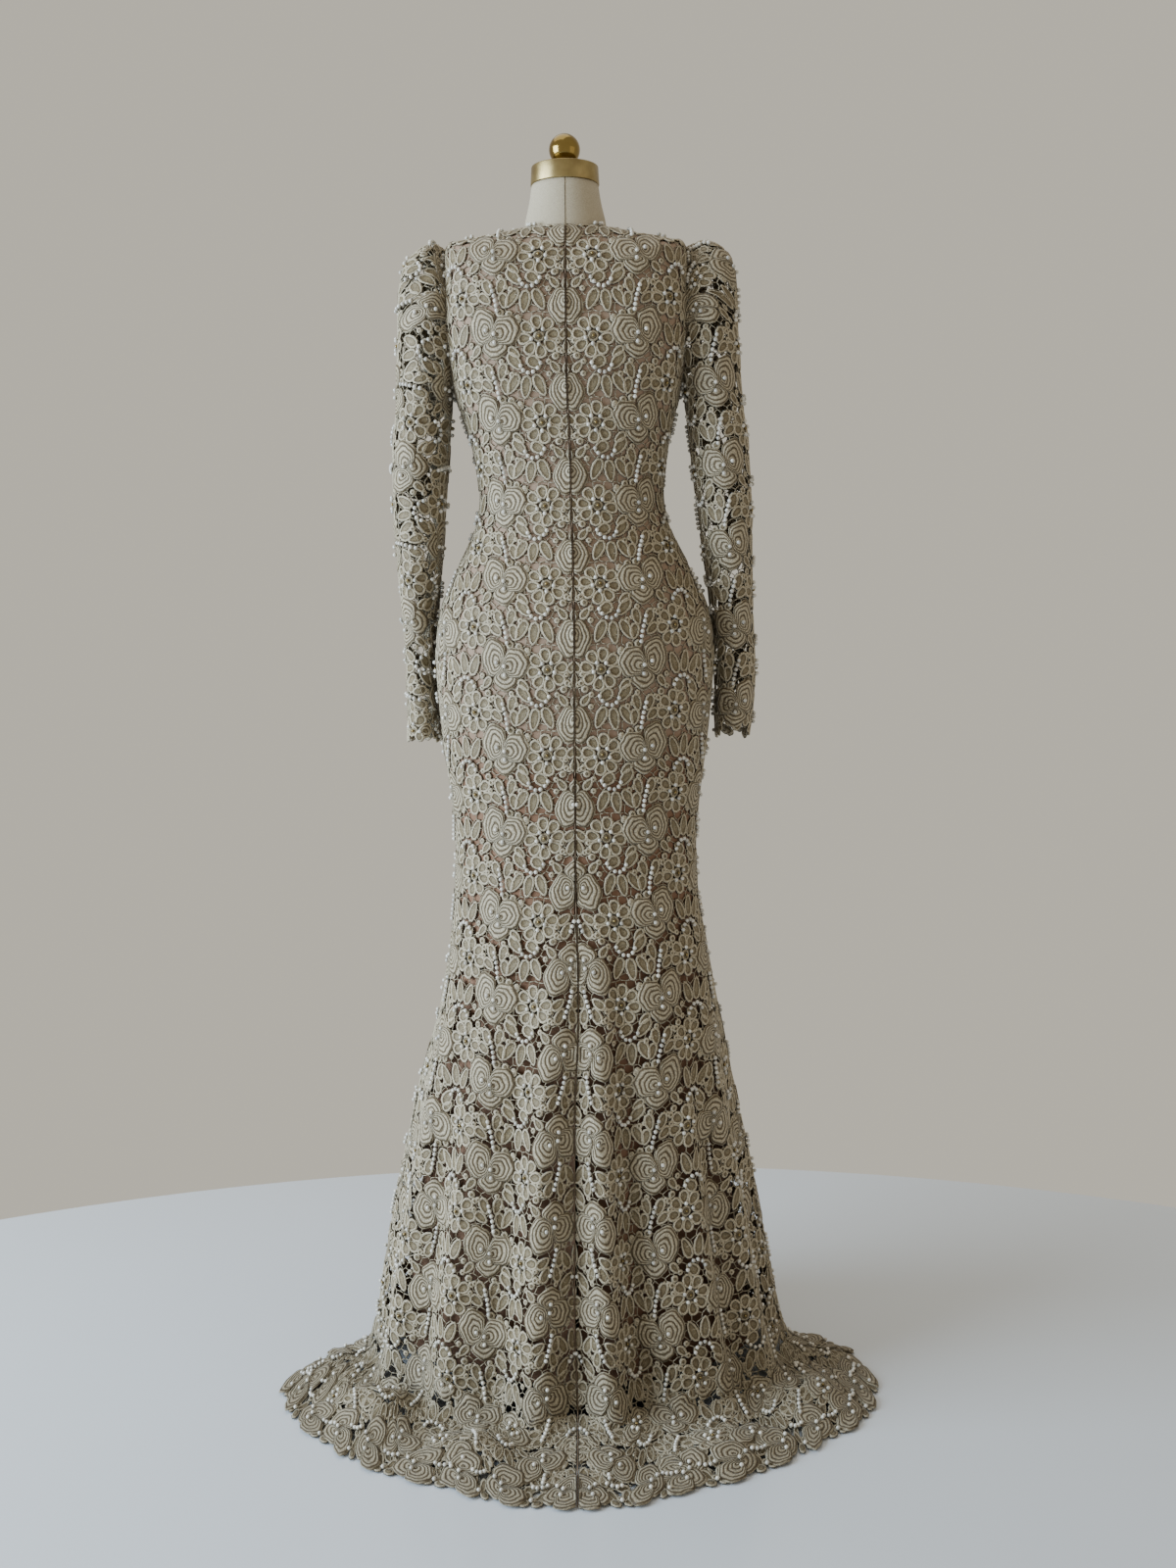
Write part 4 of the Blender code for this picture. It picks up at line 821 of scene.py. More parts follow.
class Panel:
    """A panel of lace to lay: its cloth, its limits, and the way from the chart's millimetres to the cloth.

    `side` is 1 where the chart's across runs towards greater angles, -1 where it runs the other way.
    `turned` lace has its across running down the cloth. `start` is where one repeat starts, in the chart's
    millimetres. `edge_row` is the row of the surface that the border runs along, and `band` the width it
    takes of the cloth, in millimetres.
    """

    def __init__(self, name, cloth, limits, edge_row, band, side, start, turned=False, grain=False):
        self.name, self.cloth, self.limits = name, cloth, limits
        self.side, self.start, self.turned, self.grain = side, start, turned, grain
        self.edge, self.band = cloth.edge(edge_row), band

    def from_edge(self, across, down):
        """How far inside the border's line places of the flat cloth lie, in metres."""
        return np.interp(across, *self.edge) - down

    def lay(self, places):
        """Chart places in millimetres as points on the surface, which of them lie off the panel, how far
        inside the border's line they are, and their rows."""
        across, down, lift = places[:, 0] * MM, places[:, 1] * MM, places[:, 2] * MM
        if self.turned:
            across, down = down, across
        else:
            down = down + LOWER_STRETCH * np.clip(down - STRETCH_FROM, 0, None)
        if self.grain:
            across = across + grain_shift(down)
        across = across * self.side
        points, off, row = self.cloth.lay(across, down, lift, self.limits)
        return points, off, self.from_edge(across, down), row

    def offsets(self):
        """The offsets of all the repeats that the panel can hold."""
        cloth = self.cloth
        ends = sorted((cloth.q_low * self.side / MM, cloth.q_high * self.side / MM))
        downs = cloth.v_low / MM, cloth.v_high / MM
        if self.turned:
            ends, downs = downs, ends
        return repeat_offsets(ends, downs, self.start)

    def laid(self, shape, band, first_row=-1.0):
        """A flat shape laid on the panel, less its parts that lie wholly off it, and those whose middle is
        in the band along the border or above the first row."""
        points, off, inside, row = self.lay(shape.points)
        count = np.maximum(np.bincount(shape.part), 1)
        kept = (np.bincount(shape.part, ~off) > 0) & (np.bincount(shape.part, inside) / count > band * MM)
        kept &= np.bincount(shape.part, row) / count > first_row
        return faced_out(only_parts(shape._replace(points=points), kept))

    def balls(self, places, radius):
        """Balls at chart places, each sunk by a fifth of its radius into what it is sewn to."""
        places = (places[None] + self.offsets()[:, None]).reshape(-1, 3)
        places[:, 2] += radius / MM * BALL_PROUD
        centres, off, inside, _ = self.lay(places)
        return ball_shapes(centres[~off & (inside > self.band * MM)], radius)

    def border_points(self, points, spacing, inset, first=0.5):
        """Copies of flat points in a row along the border's line, `spacing` apart and `inset` inside it.
        Each copy is turned so that its down points out over the edge. Returns the points of all, and which
        lie off."""
        line = np.stack(self.edge, -1)
        length = running_length(line)
        count = max(1, round(length[-1] / (spacing * MM)))
        at = (np.arange(count) + first) * length[-1] / count
        after = on_line(np.minimum(at + BORDER_STEP, length[-1]), length, line)
        along = unit(after - on_line(np.maximum(at - BORDER_STEP, 0), length, line))
        out = np.stack([-along[:, 1], along[:, 0]], -1)
        middle = on_line(at, length, line) - out * inset * MM
        flat = (middle[:, None] + points[None, :, :1] * MM * along[:, None] * self.side
                + points[None, :, 1:2] * MM * out[:, None]).reshape(-1, 2)
        lift = np.tile(points[:, 2] * MM, count)
        laid, off, _ = self.cloth.lay(flat[:, 0], flat[:, 1], lift, self.limits)
        return laid, off, count

    def border(self, shape, spacing, inset, first=0.5):
        laid, off, count = self.border_points(shape.points, spacing, inset, first)
        row = repeated(shape, np.zeros((count, 3)))
        return faced_out(only_parts(row._replace(points=laid), np.bincount(row.part, ~off) > 0))

    def border_balls(self, places, radius, spacing, inset, first=0.5):
        places = np.array(places) + [0.0, 0.0, radius / MM * BALL_PROUD]
        laid, off, _ = self.border_points(places, spacing, inset, first)
        return ball_shapes(laid[~off], radius)


# How much a twisted cord's section swells and shrinks, as a share of its radius
TWIST_SWELL = 0.22


def plain_shape(points, quads, tris=np.zeros((0, 3), int)):
    """One closed part without marks, its faces outward."""
    return faced_out(Shape(points, quads, tris, np.zeros((len(points), 2)), np.zeros(len(points), int)))


def ring_shape(rings):
    """A closed body through rings of points, each ring one row, with a flat fan over both ends."""
    count = rings.shape[1]
    points = rings.reshape(-1, 3)
    last = len(points)
    points = np.concatenate([points, rings[:1].mean(axis=1), rings[-1:].mean(axis=1)])
    here = np.arange(count)
    there = (here + 1) % count
    low = last - count
    tris = np.concatenate([np.stack([here, there, np.full(count, last)], -1),
                           np.stack([low + there, low + here, np.full(count, last + 1)], -1)])
    return plain_shape(points, grid_shell(rings, closed_round=True), tris)


def ball_shapes(centres, radius, around=6, levels=4):
    """Balls at the centres, each of a few rings between two poles."""
    rise = np.linspace(0, math.pi, levels + 1)[1:-1]
    turn = np.arange(around) * 2 * math.pi / around
    rings = np.stack([np.outer(np.sin(rise), np.cos(turn)), np.outer(np.sin(rise), np.sin(turn)),
                      np.outer(np.cos(rise), np.ones(around))], -1)
    ball = ring_shape(rings)
    ball.points[-2:] = [[0.0, 0.0, 1.0], [0.0, 0.0, -1.0]]
    return repeated(ball._replace(points=ball.points * radius), centres)


def grid_shell(points, closed_round=False):
    """A grid of points as an open surface's quads, joined round across its columns where that is asked."""
    rows, columns = points.shape[:2]
    at = np.arange(rows * columns).reshape(rows, columns)
    if closed_round:
        at = np.concatenate([at, at[:, :1]], axis=1)
    return np.stack([at[:-1, :-1], at[1:, :-1], at[1:, 1:], at[:-1, 1:]], -1).reshape(-1, 4)


def wall_shape(inner, outer):
    """A closed thin wall between two grids of points, with its rim."""
    rows, columns = inner.shape[:2]
    at = np.arange(rows * columns).reshape(rows, columns)
    faces = grid_shell(inner)
    rim = np.concatenate([at[0, :-1], at[:-1, -1], at[-1, :0:-1], at[:0:-1, 0]])
    after = np.roll(rim, -1)
    band = np.stack([rim, after, after + at.size, rim + at.size], -1)
    return plain_shape(np.concatenate([inner.reshape(-1, 3), outer.reshape(-1, 3)]),
                       np.concatenate([faces[:, ::-1], faces + at.size, band]))


def cord_shape(path, normals, radius, around=6, twist=0.0, closed=False):
    """A round cord along a path. Its rings turn with the path's own normals, and swell where it twists."""
    steps = np.roll(path, -1, axis=0) - np.roll(path, 1, axis=0) if closed else np.gradient(path, axis=0)
    aside = unit(np.cross(unit(steps), normals))
    up = np.cross(aside, unit(steps))
    turn = np.arange(around) * 2 * math.pi / around
    swell = np.ones((len(path), around))
    if twist:
        swell += TWIST_SWELL * np.cos(2 * (turn - (running_length(path) * twist)[:, None]))
    rings = path[:, None] + radius * swell[..., None] * (aside[:, None] * np.cos(turn)[:, None]
                                                         + up[:, None] * np.sin(turn)[:, None])
    if not closed:
        return ring_shape(rings)
    quads = grid_shell(np.concatenate([rings, rings[:1]]), closed_round=True)
    return plain_shape(rings.reshape(-1, 3), quads % rings[..., 0].size)


# Meshes and materials


# The width of a petal's drawn pattern, the pitch of a rose's cords and how far they wander, in millimetres
PETAL_PATTERN = 8.0
ROSE_CORD_PITCH = 3.5
ROSE_CORD_WANDER = 3.6
# How light a petal is from its rim inward, with its cord first and its mesh after, and a rose's cord from
# its foot to its ridge. All of it is painted light and shade on one thread: a painted shadow at the rim, a
# painted highlight on the cord and the ridge, and painted shade in the grooves and the open mesh
PETAL_STOPS = ((0.0, "#505050"), (0.08, "#F4F4F4"), (0.39, "#FFFFFF"), (0.46, "#404040"), (0.56, "#949494"),
               (0.8, "#ACACAC"))
CORD_STOPS = ((0.0, "#101010"), (0.30, "#404040"), (0.55, "#C4C4C4"), (1.0, "#F0F0F0"))


def linear(code):
    """An sRGB hex colour as linear red, green and blue."""
    parts = [int(code[k : k + 2], 16) / 255 for k in (1, 3, 5)]
    return tuple(c / 12.92 if c <= 0.04045 else ((c + 0.055) / 1.055) ** 2.4 for c in parts)


def add_piece(name, shape, material, replaces=()):
    """A piece from a shape: its mesh with the marks as a point attribute, its material and its body."""
    mesh = bpy.data.meshes.new(name)
    loops = np.concatenate([shape.quads.ravel(), shape.tris.ravel()]).astype(np.int32)
    starts = np.concatenate([np.arange(len(shape.quads)) * 4,
                             len(shape.quads) * 4 + np.arange(len(shape.tris)) * 3]).astype(np.int32)
    mesh.vertices.add(len(shape.points))
    mesh.vertices.foreach_set("co", np.ascontiguousarray(shape.points, np.float32).ravel())
    mesh.loops.add(len(loops))
    mesh.loops.foreach_set("vertex_index", loops)
    mesh.polygons.add(len(starts))
    mesh.polygons.foreach_set("loop_start", starts)
    mesh.update(calc_edges=True)
    marks = mesh.attributes.new("lobe", "FLOAT2", "POINT")
    marks.data.foreach_set("vector", np.ascontiguousarray(shape.marks, np.float32).ravel())
    mesh.shade_smooth()
    mesh.materials.append(material)
    obj = bpy.data.objects.new(name, mesh)
    bpy.context.scene.collection.objects.link(obj)
    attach(obj, "root")
    if replaces:
        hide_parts(*replaces)
    return obj


def add_node(tree, kind, settings=None, **inputs):
    """Adds a shader node with its own `settings`. Each input is a value, or a (node, output) link."""
    node = tree.nodes.new(kind)
    for name, value in (settings or {}).items():
        setattr(node, name, value)
    for name, value in inputs.items():
        key = int(name[1:]) if name[0] == "_" and name[1:].isdigit() else name.replace("_", " ")
        if isinstance(value, tuple) and isinstance(value[0], bpy.types.Node):
            tree.links.new(value[0].outputs[value[1]], node.inputs[key])
        else:
            node.inputs[key].default_value = value
    return node


def new_material(name, **values):
    """A material with its Principled shader's plain values set on the shader's own sockets."""
    material = bpy.data.materials.new(name)
    material.use_nodes = True
    tree = material.node_tree
    shader = tree.nodes["Principled BSDF"]
    for key, value in values.items():
        shader.inputs[key.replace("_", " ")].default_value = value
    return material, tree, shader


def rgba(colour):
    return (*colour, 1.0)


def noise(tree, scale, detail=3.0, roughness=0.5):
    """Noise by the piece's own coordinates, in metres; a feature is about one over the scale across."""
    places = add_node(tree, "ShaderNodeTexCoord")
    return add_node(tree, "ShaderNodeTexNoise", Vector=(places, "Object"), Scale=scale, Detail=detail,
                    Roughness=roughness)


def ramp(tree, source, output, stops):
    """A colour ramp over a source's output, through (place, hex colour) stops."""
    node = add_node(tree, "ShaderNodeValToRGB", Fac=(source, output))
    while len(node.color_ramp.elements) < len(stops):
        node.color_ramp.elements.new(1.0)
    for element, (place, colour) in zip(node.color_ramp.elements, stops):
        element.position = place
        element.color = rgba(linear(colour) if isinstance(colour, str) else colour)
    return node


def maths(tree, operation, *values):
    """A math node over values and (node, output) links."""
    return add_node(tree, "ShaderNodeMath", {"operation": operation},
                    **{f"_{place}": value for place, value in enumerate(values)})


def mixed(tree, first, second, factor, blend="MIX"):
    """Two colours mixed by a factor. Each colour is a (node, output) link."""
    return add_node(tree, "ShaderNodeMixRGB", {"blend_type": blend}, Fac=factor, Color1=first,
                    Color2=second)


def by_height(tree, stops):
    """A colour ramp over the height, in metres, by the piece's own coordinates."""
    places = add_node(tree, "ShaderNodeTexCoord")
    return ramp(tree, add_node(tree, "ShaderNodeSeparateXYZ", Vector=(places, "Object")), "Z", stops)


def finish(tree, shader, colour, height=None, strength=0.0, distance=0.0):
    """Links a colour to the shader and, where there is one, a height to its bump."""
    tree.links.new(colour.outputs["Color"], shader.inputs["Base Color"])
    if height:
        node = add_node(tree, "ShaderNodeBump", Strength=strength, Distance=distance, Height=height)
        tree.links.new(node.outputs["Normal"], shader.inputs["Normal"])


def thread_material(name, mesh, valley, cord):
    """Satin-stitched cotton thread of guipure lace, matt with a faint sheen. The light on its raised cords
    and the shade of the open stitches between them are painted into its colour, which draws the flowers:
    one cord along a petal's rim, and one within the other in a ringed lobe, each a rounded wave of the
    distance from the rim."""
    material, tree, shader = new_material(name, Roughness=0.66, Sheen_Weight=0.06, Sheen_Roughness=0.4,
                                          Specular_IOR_Level=0.35)
    attribute = add_node(tree, "ShaderNodeAttribute", {"attribute_name": "lobe"})
    lobe_marks = add_node(tree, "ShaderNodeSeparateXYZ", Vector=(attribute, "Vector"))
    share = maths(tree, "MULTIPLY", (lobe_marks, "X"), 1 / PETAL_PATTERN)
    petal = ramp(tree, share, "Value", PETAL_STOPS)
    # A rose's cords are laid by hand: their spacing wanders by about a third of the pitch
    wander = noise(tree, 75.0, 1.0)
    inset = maths(tree, "MULTIPLY_ADD", (wander, "Fac"), ROSE_CORD_WANDER, (lobe_marks, "X"))
    turned = maths(tree, "MULTIPLY", (inset, "Value"), math.pi / ROSE_CORD_PITCH)
    wave = maths(tree, "ABSOLUTE", (maths(tree, "SINE", (turned, "Value")), "Value"))
    cords = ramp(tree, wave, "Value", CORD_STOPS)
    relief = mixed(tree, (petal, "Color"), (cords, "Color"), (lobe_marks, "Y"))
    # Painted highlight on the cords, painted shade in the grooves and the open stitches: lit and shaded
    # tones of one thread
    colour = ramp(tree, relief, "Color", ((0.03, mesh), (0.30, valley), (0.85, cord)))
    # Drawn at 1.4 mm, coarser than the real 0.4 mm thread, so that it shows at this size
    threads = noise(tree, 700.0, 2.0)
    shade = ramp(tree, threads, "Fac", ((0.34, "#949494"), (0.62, "#FFFFFF")))
    shaded = mixed(tree, (colour, "Color"), (shade, "Color"), 0.8, "MULTIPLY")
    # Painted shade: the thread is darker towards the floor, for the shade under and between the train's
    # layers
    floor_shade = by_height(tree, ((0.004, "#DADADA"), (0.12, "#FFFFFF")))
    tinted = mixed(tree, (shaded, "Color"), (floor_shade, "Color"), 1.0, "MULTIPLY")
    height = mixed(tree, (relief, "Color"), (threads, "Fac"), 0.2)
    finish(tree, shader, tinted, (height, "Color"), 0.9, 0.0018)
    return material


def lining_material(high, low):
    """Matt crepe lining, rose beige over the body and darker from the thigh down, in the skirt's shade."""
    material, tree, shader = new_material("crepe_lining", Roughness=0.8, Sheen_Weight=0.05)
    colour = by_height(tree, ((0.79, low), (0.87, high)))
    finish(tree, shader, colour, (noise(tree, 900.0, 2.0), "Fac"), 0.25, 0.0004)
    return material


def pearl_material(colour):
    """Glass pearls with a soft nacre coat: a clear highlight over a warm body that varies a little."""
    material, tree, shader = new_material("glass_pearl", Roughness=0.2, Coat_Weight=0.6,
                                          Coat_Roughness=0.08, IOR=1.53)
    dark = tuple(c * 0.6 for c in colour)
    finish(tree, shader, ramp(tree, noise(tree, 90.0, 1.0), "Fac", ((0.35, dark), (0.62, colour))))
    return material


def mottled_material(name, dark, light, scale, depth, **values):
    """A matt or metal surface whose colour wanders between two close shades, with a bump as fine."""
    material, tree, shader = new_material(name, **values)
    spots = noise(tree, scale)
    finish(tree, shader, ramp(tree, spots, "Fac", ((0.3, dark), (0.7, light))), (spots, "Fac"), 0.3, depth)
    return material


def floor_material(colour):
    """A pale lacquered floor: an even sheet with a soft reflection of what stands on it."""
    material, tree, shader = new_material("lacquered_floor", Roughness=0.22, Coat_Weight=0.35,
                                          Coat_Roughness=0.1)
    smudges = noise(tree, 1.4, 4.0)
    dark = tuple(c * 0.96 for c in colour)
    finish(tree, shader, ramp(tree, smudges, "Fac", ((0.3, dark), (0.7, colour))))
    rough = add_node(tree, "ShaderNodeMapRange", Value=(smudges, "Fac"), _3=0.18, _4=0.3)
    tree.links.new(rough.outputs["Result"], shader.inputs["Roughness"])
    return material


# The gown's pieces


SEAM_HALF_GAP = 0.0013
# The daisies of the back stand level with this height, beside the centre back seam
DAISY_HEIGHT = 1.0217
# How far round from the middle of the front its first column of daisies stands, in millimetres
FRONT_SHIFT = 17.0
# The hem's border, in millimetres: a rose every so often, each with its fan over the edge, and a knot of
# discs and leaves between two of them, which starts just past the side seam
HEM_SPACING = 66.0
HEM_BAND = 44.0
HEM_NET_BAND = 12.0
HEM_LIFT = 1.0
HEM_ROSE_TURN = -70.0
HEM_ROSE_INSET = 24.0
HEM_KNOT_INSET = 5.0
HEM_KNOT_FIRST = 1e-3
HEM_PEARL_HEIGHT = 2.0
KNOT_PEARLS = ((-11.0, -30.0, 2.0), (-5.0, -27.0, 2.0), (1.0, -26.0, 2.0), (7.0, -27.5, 2.0),
               (0.0, -3.5, 2.4))
# The train's second layer of lace: its lift and the hem's width that it leaves free, in millimetres, the
# height on the centre back from which its repeats start, in metres, and the row from which it shows
TRAIN_LAYER_LIFT = -0.7
TRAIN_LAYER_BAND = 26.0
TRAIN_LAYER_TOP = 0.30
TRAIN_LAYER_ROW = FLOOR - 0.6
CUFF_SPACING = 14.0
CUFF_BAND = 7.0
CUFF_LEAF = Leaf(0.0, 0.0, 8.4, 7.2, 90)
LACE_TO_LINING = 0.0012
LINING_WALL = 0.0012
LINING_TO_FORM = 0.0022
LINING_FLARE = 0.72
LINING_HEM_Z = 0.045
# How far the lining's backs stop from the centre back seam, in degrees
LINING_GROOVE = 0.7
# The lining's soft folds below the thigh: their depth, how many go round, the height where they start, and
# how far below it they have grown
LINING_FOLD = 0.0012
LINING_FOLDS = 7
LINING_FOLD_TOP = 0.60
LINING_FOLD_SPAN = 0.45
# The zip's section across: places, how far its coil stands out there, the tape's thickness, and how far the
# tape lies in from the lining's inner face
ZIP_ROWS = 260
ZIP_ACROSS = (-0.012, -0.004, -0.0016, -0.0006, 0.0, 0.0006, 0.0016, 0.004, 0.012)
ZIP_RIDGE = (0.0, 0.0, 0.0, 0.0011, 0.0005, 0.0011, 0.0, 0.0, 0.0)
ZIP_TAPE = 0.0009
ZIP_SINK = 0.0001
# The form: where its canvas ends, its neck's rings (height, half width, depth) from below, and how low the
# neck's centre back seam runs, under the neckline
FORM_BOTTOM_Z = 0.800
NECK_RINGS = ((1.4700, 0.0492, 0.0475), (1.4900, 0.0445, 0.0445), (1.5108, 0.0412, 0.0412))
NECK_SEAM_END = 1.44
# The brass cap: its foot and top, their radii, its rounded corners, how far its foot is turned in, and the
# radius and rise of its flat middle
CAP_LOW, CAP_HIGH = 1.5111, 1.5336
CAP_RADII = (0.0425, 0.0414)
CAP_BEVEL = 0.0014
CAP_FOOT_IN = 0.0020
CAP_MIDDLE_RADIUS = 0.012
CAP_RISE = 0.0004
# The brass ball, and its short stem: its radius, how far its foot stands over the cap, its height, and its
# outline from above as shares of its radius and heights over its foot
BALL_RADIUS = 0.0192
STEM_RADIUS = 0.0090
STEM_FOOT = 0.0008
STEM_HEIGHT = 0.003
STEM_OUTLINE = ((0.96, 0.0018), (1.0, 0.0004), (1.0, 0.0))
# The sewn edges: how far a sewing thread turns in a metre, in radians, the radii of the seams' thread and
# of the binding's cord, and how far the middles of the neckline's, the back's and the armholes' stand out
SEAM_TWIST = 1200.0
SEAM_RADIUS = 0.0006
BINDING_RADIUS = 0.0012
BINDING_OUT = 0.0006
SEAM_OUT = 0.0004
ARMHOLE_OUT = 0.0014
EDGE_STEP = 0.004
# The row of the sections, just under the neckline, from which the zip and the centre back seam run down
SEAM_TOP_ROW = 0.05


def length_at(height):
    """The lace's length down at a height on the centre back, in metres: its own line's below the knee."""
    fine = np.linspace(0, FLOOR, 900)
    line = gown_point(0.0, fine)
    level = height_down(line[:, 2])
    knee = int(np.searchsorted(fine, KNEE))
    level[knee:] = level[knee] + running_length(line[knee:])
    return np.interp(-np.asarray(height), -line[:, 2], level)


GRAIN_DOWNS = length_at(GRAIN_HEIGHTS)
STRETCH_FROM = float(length_at(DAISY_HEIGHT))


def gown_panels():
    """The three panels of the gown, each with the limits of its cut."""
    spare = HEM + HEM_SPARE_ROWS - 1e-3

    def back_limits(sign):
        def limits(angle, row):
            # The seam's half width as an angle, from the row's half width
            half = np.degrees(SEAM_HALF_GAP / smooth_columns(SECTIONS, row)[..., HALF_WIDTH])
            edge = side_edge(row, False)
            return (half, edge, 0.0, spare) if sign > 0 else (-edge, -half, 0.0, spare)
        return limits

    def front_limits(angle, row):
        edge = side_edge(row, True)
        return 180.0 - edge, 180.0 + edge, 0.0, spare

    start = (0.0, STRETCH_FROM / MM)
    front_start = (-COLUMNS[0] - FRONT_SHIFT, start[1])
    border = HEM, HEM_BAND
    return (
        Panel("back_left", panel_cloth(-91.0, 0.5, 0.0), back_limits(-1), *border, -1, start, grain=True),
        Panel("back_right", panel_cloth(-0.5, 91.0, 0.0), back_limits(1), *border, 1, start, grain=True),
        Panel("front", panel_cloth(89.0, 271.0, 180.0), front_limits, *border, 1, front_start),
    )


def sleeve_panels():
    """Both sleeves. The left one's lace lies turned, with the chart's down towards the body."""
    end = CUFF - 1e-3

    def limits(turn, ring):
        return np.full(np.shape(turn), 0.0), np.full(np.shape(turn), 360.0), 0.0, end

    return (
        Panel("left", sleeve_cloth("left"), limits, end, CUFF_BAND, -1, (-62.4, -10.3), turned=True),
        Panel("right", sleeve_cloth("right"), limits, end, CUFF_BAND, 1, (-86.0, 29.6)),
    )


def lace_of(panel, part):
    """All the lace of a panel as one shape: its motifs, its net and its border. `part` can keep only the
    repeats above or below the middle row of repeats, and the border is in the lower part."""
    offsets = panel.offsets()
    if part:
        middle = (panel.cloth.v_low + panel.cloth.v_high) / 2 / MM
        above = offsets[:, 1] + REPEAT_DOWN / 2 < middle
        offsets = offsets[above if part == "_upper" else ~above]
    shapes = [panel.laid(repeated(repeat_motifs(), offsets), panel.band),
              panel.laid(repeated(repeat_net(), offsets), min(panel.band, HEM_NET_BAND))]
    if panel.band == CUFF_BAND:
        shapes.append(panel.border(leaf_shape(CUFF_LEAF), CUFF_SPACING, CUFF_LEAF.half_length))
    elif part != "_upper":
        rose = placed(rose_lobes(), 0.0, 0.0, turn=HEM_ROSE_TURN, lift=HEM_LIFT)
        knot = placed(motif_shape("knot"), 0.0, 0.0, lift=HEM_LIFT / 2)
        shapes += [panel.border(rose, HEM_SPACING, HEM_ROSE_INSET),
                   panel.border(knot, HEM_SPACING, HEM_KNOT_INSET, HEM_KNOT_FIRST), train_layer(panel)]
    return joined(shapes)


def train_layer(panel):
    """The lace that lies folded under the train's top layer, and fills its gaps: the same motifs, moved on
    by a quarter of the repeat across and half of it down."""
    offsets = panel.offsets() + [REPEAT_ACROSS / 4, REPEAT_DOWN / 2, TRAIN_LAYER_LIFT]
    offsets = offsets[offsets[:, 1] * MM > length_at(TRAIN_LAYER_TOP)]
    return panel.laid(repeated(repeat_motifs(), offsets), TRAIN_LAYER_BAND, TRAIN_LAYER_ROW)


def pearls_of(panel, places, radius):
    """A panel's pearls: those of its repeats, and on the gown those of the hem's border."""
    pearls = [panel.balls(places, radius)]
    if panel.band == HEM_BAND:
        rose = [(across, down, HEM_LIFT + HEM_PEARL_HEIGHT) for across, down in PEARLS["rose"]]
        pearls += [panel.border_balls(rose, radius, HEM_SPACING, HEM_ROSE_INSET),
                   panel.border_balls(KNOT_PEARLS, radius, HEM_SPACING, HEM_KNOT_INSET, HEM_KNOT_FIRST)]
    return joined(pearls)


def lace_materials(name):
    """The thread of the body's or the sleeves' lace, its glass pearls and its gold-foiled beads."""
    sizes = bpy.context.scene.gown
    thread = thread_material(name, sizes.mesh, sizes.valley, sizes.cord)
    pearl = pearl_material(sizes.pearl)
    gold = mottled_material("gold_foiled_bead", "#6B5A38", "#A08C60", 300.0, 0.0002, Metallic=1.0,
                            Roughness=0.25)
    return thread, pearl, gold


def add_lace(panel, name, nodes, materials):
    """Adds a panel's pearls, gold beads and lace. The front's lace, which is the largest, is two pieces
    that meet half-way down."""
    sizes = bpy.context.scene.gown
    thread, pearl, gold = materials
    pearl_places, bead_places = repeat_pearls()
    pearls = add_piece("pearls_" + name, pearls_of(panel, pearl_places, sizes.pearl_radius), pearl)
    beads = add_piece("gold_beads_" + name, panel.balls(bead_places, sizes.bead_radius), gold)
    halves = (("_upper", 0.0, 0.5), ("_lower", 0.5, 1.0)) if name == "front" else (("", 0.0, 1.0),)
    for part, start, end in halves:
        lace = add_piece("guipure_" + name + part, lace_of(panel, part), thread, nodes)
        width, length, area = panel.cloth.cut(start, end)


class GOWN_OT_lace(bpy.types.Operator):
    """Add the lace of the gown's body, with its pearls and gold beads"""

    bl_idname = "gown.lace"
    bl_label = "Lace of the Body"
    bl_options = {"REGISTER", "UNDO"}

    def execute(self, context):
        materials = lace_materials("guipure_thread")
        for panel in gown_panels():
            nodes = [f"lace_{panel.name}_{part}" for part in ("body", "flare")]
            add_lace(panel, panel.name, nodes, materials)
        return {"FINISHED"}


class GOWN_OT_sleeves(bpy.types.Operator):
    """Add both lace sleeves, with their pearls and gold beads"""

    bl_idname = "gown.sleeves"
    bl_label = "Sleeves"
    bl_options = {"REGISTER", "UNDO"}

    def execute(self, context):
        materials = lace_materials("guipure_thread_sleeve")
        for panel in sleeve_panels():
            name = "sleeve_" + panel.name
            nodes = [f"{name}_{half}_{part}" for half in ("back", "front") for part in ("upper", "lower")]
            add_lace(panel, name, nodes, materials)
        return {"FINISHED"}


def lining_point(angle, row, inset=0.0):
    """The lining's outer face: the gown's fitted surface moved in by its clearance, and below the knee a
    sheath that takes up only a share of the skirt's growth, with a few soft folds of its own."""
    def at(angle, row):
        points = gown_point(angle, row, folded=False)
        knee = gown_point(angle, np.full(np.shape(row), float(KNEE)), folded=False)
        narrow = knee[..., :2] + (points[..., :2] - knee[..., :2]) * LINING_FLARE
        points[..., :2] = np.where((np.asarray(row) > KNEE)[..., None], narrow, points[..., :2])
        return points

    angle, row = np.broadcast_arrays(np.asarray(angle, float), np.asarray(row, float))
    along = at(angle, row + 0.01) - at(angle, row - 0.01)
    aside = at(angle + 0.2, row) - at(angle - 0.2, row)
    normal = unit(np.cross(along, aside))
    points = at(angle, row)
    grown = smoothstep((LINING_FOLD_TOP - points[..., 2]) / LINING_FOLD_SPAN)
    uneven = 0.6 * np.sin(np.radians(3 * angle))
    folds = LINING_FOLD * np.sin(np.radians(LINING_FOLDS * angle) + uneven) * grown
    return points + normal * (folds - LACE_TO_LINING - inset)[..., None]


def row_at(height):
    """The row whose section's side point is at a height."""
    fine = np.linspace(0, FLOOR, 4000)
    return float(np.interp(-height, -smooth_columns(SECTIONS, fine)[:, 0], fine))


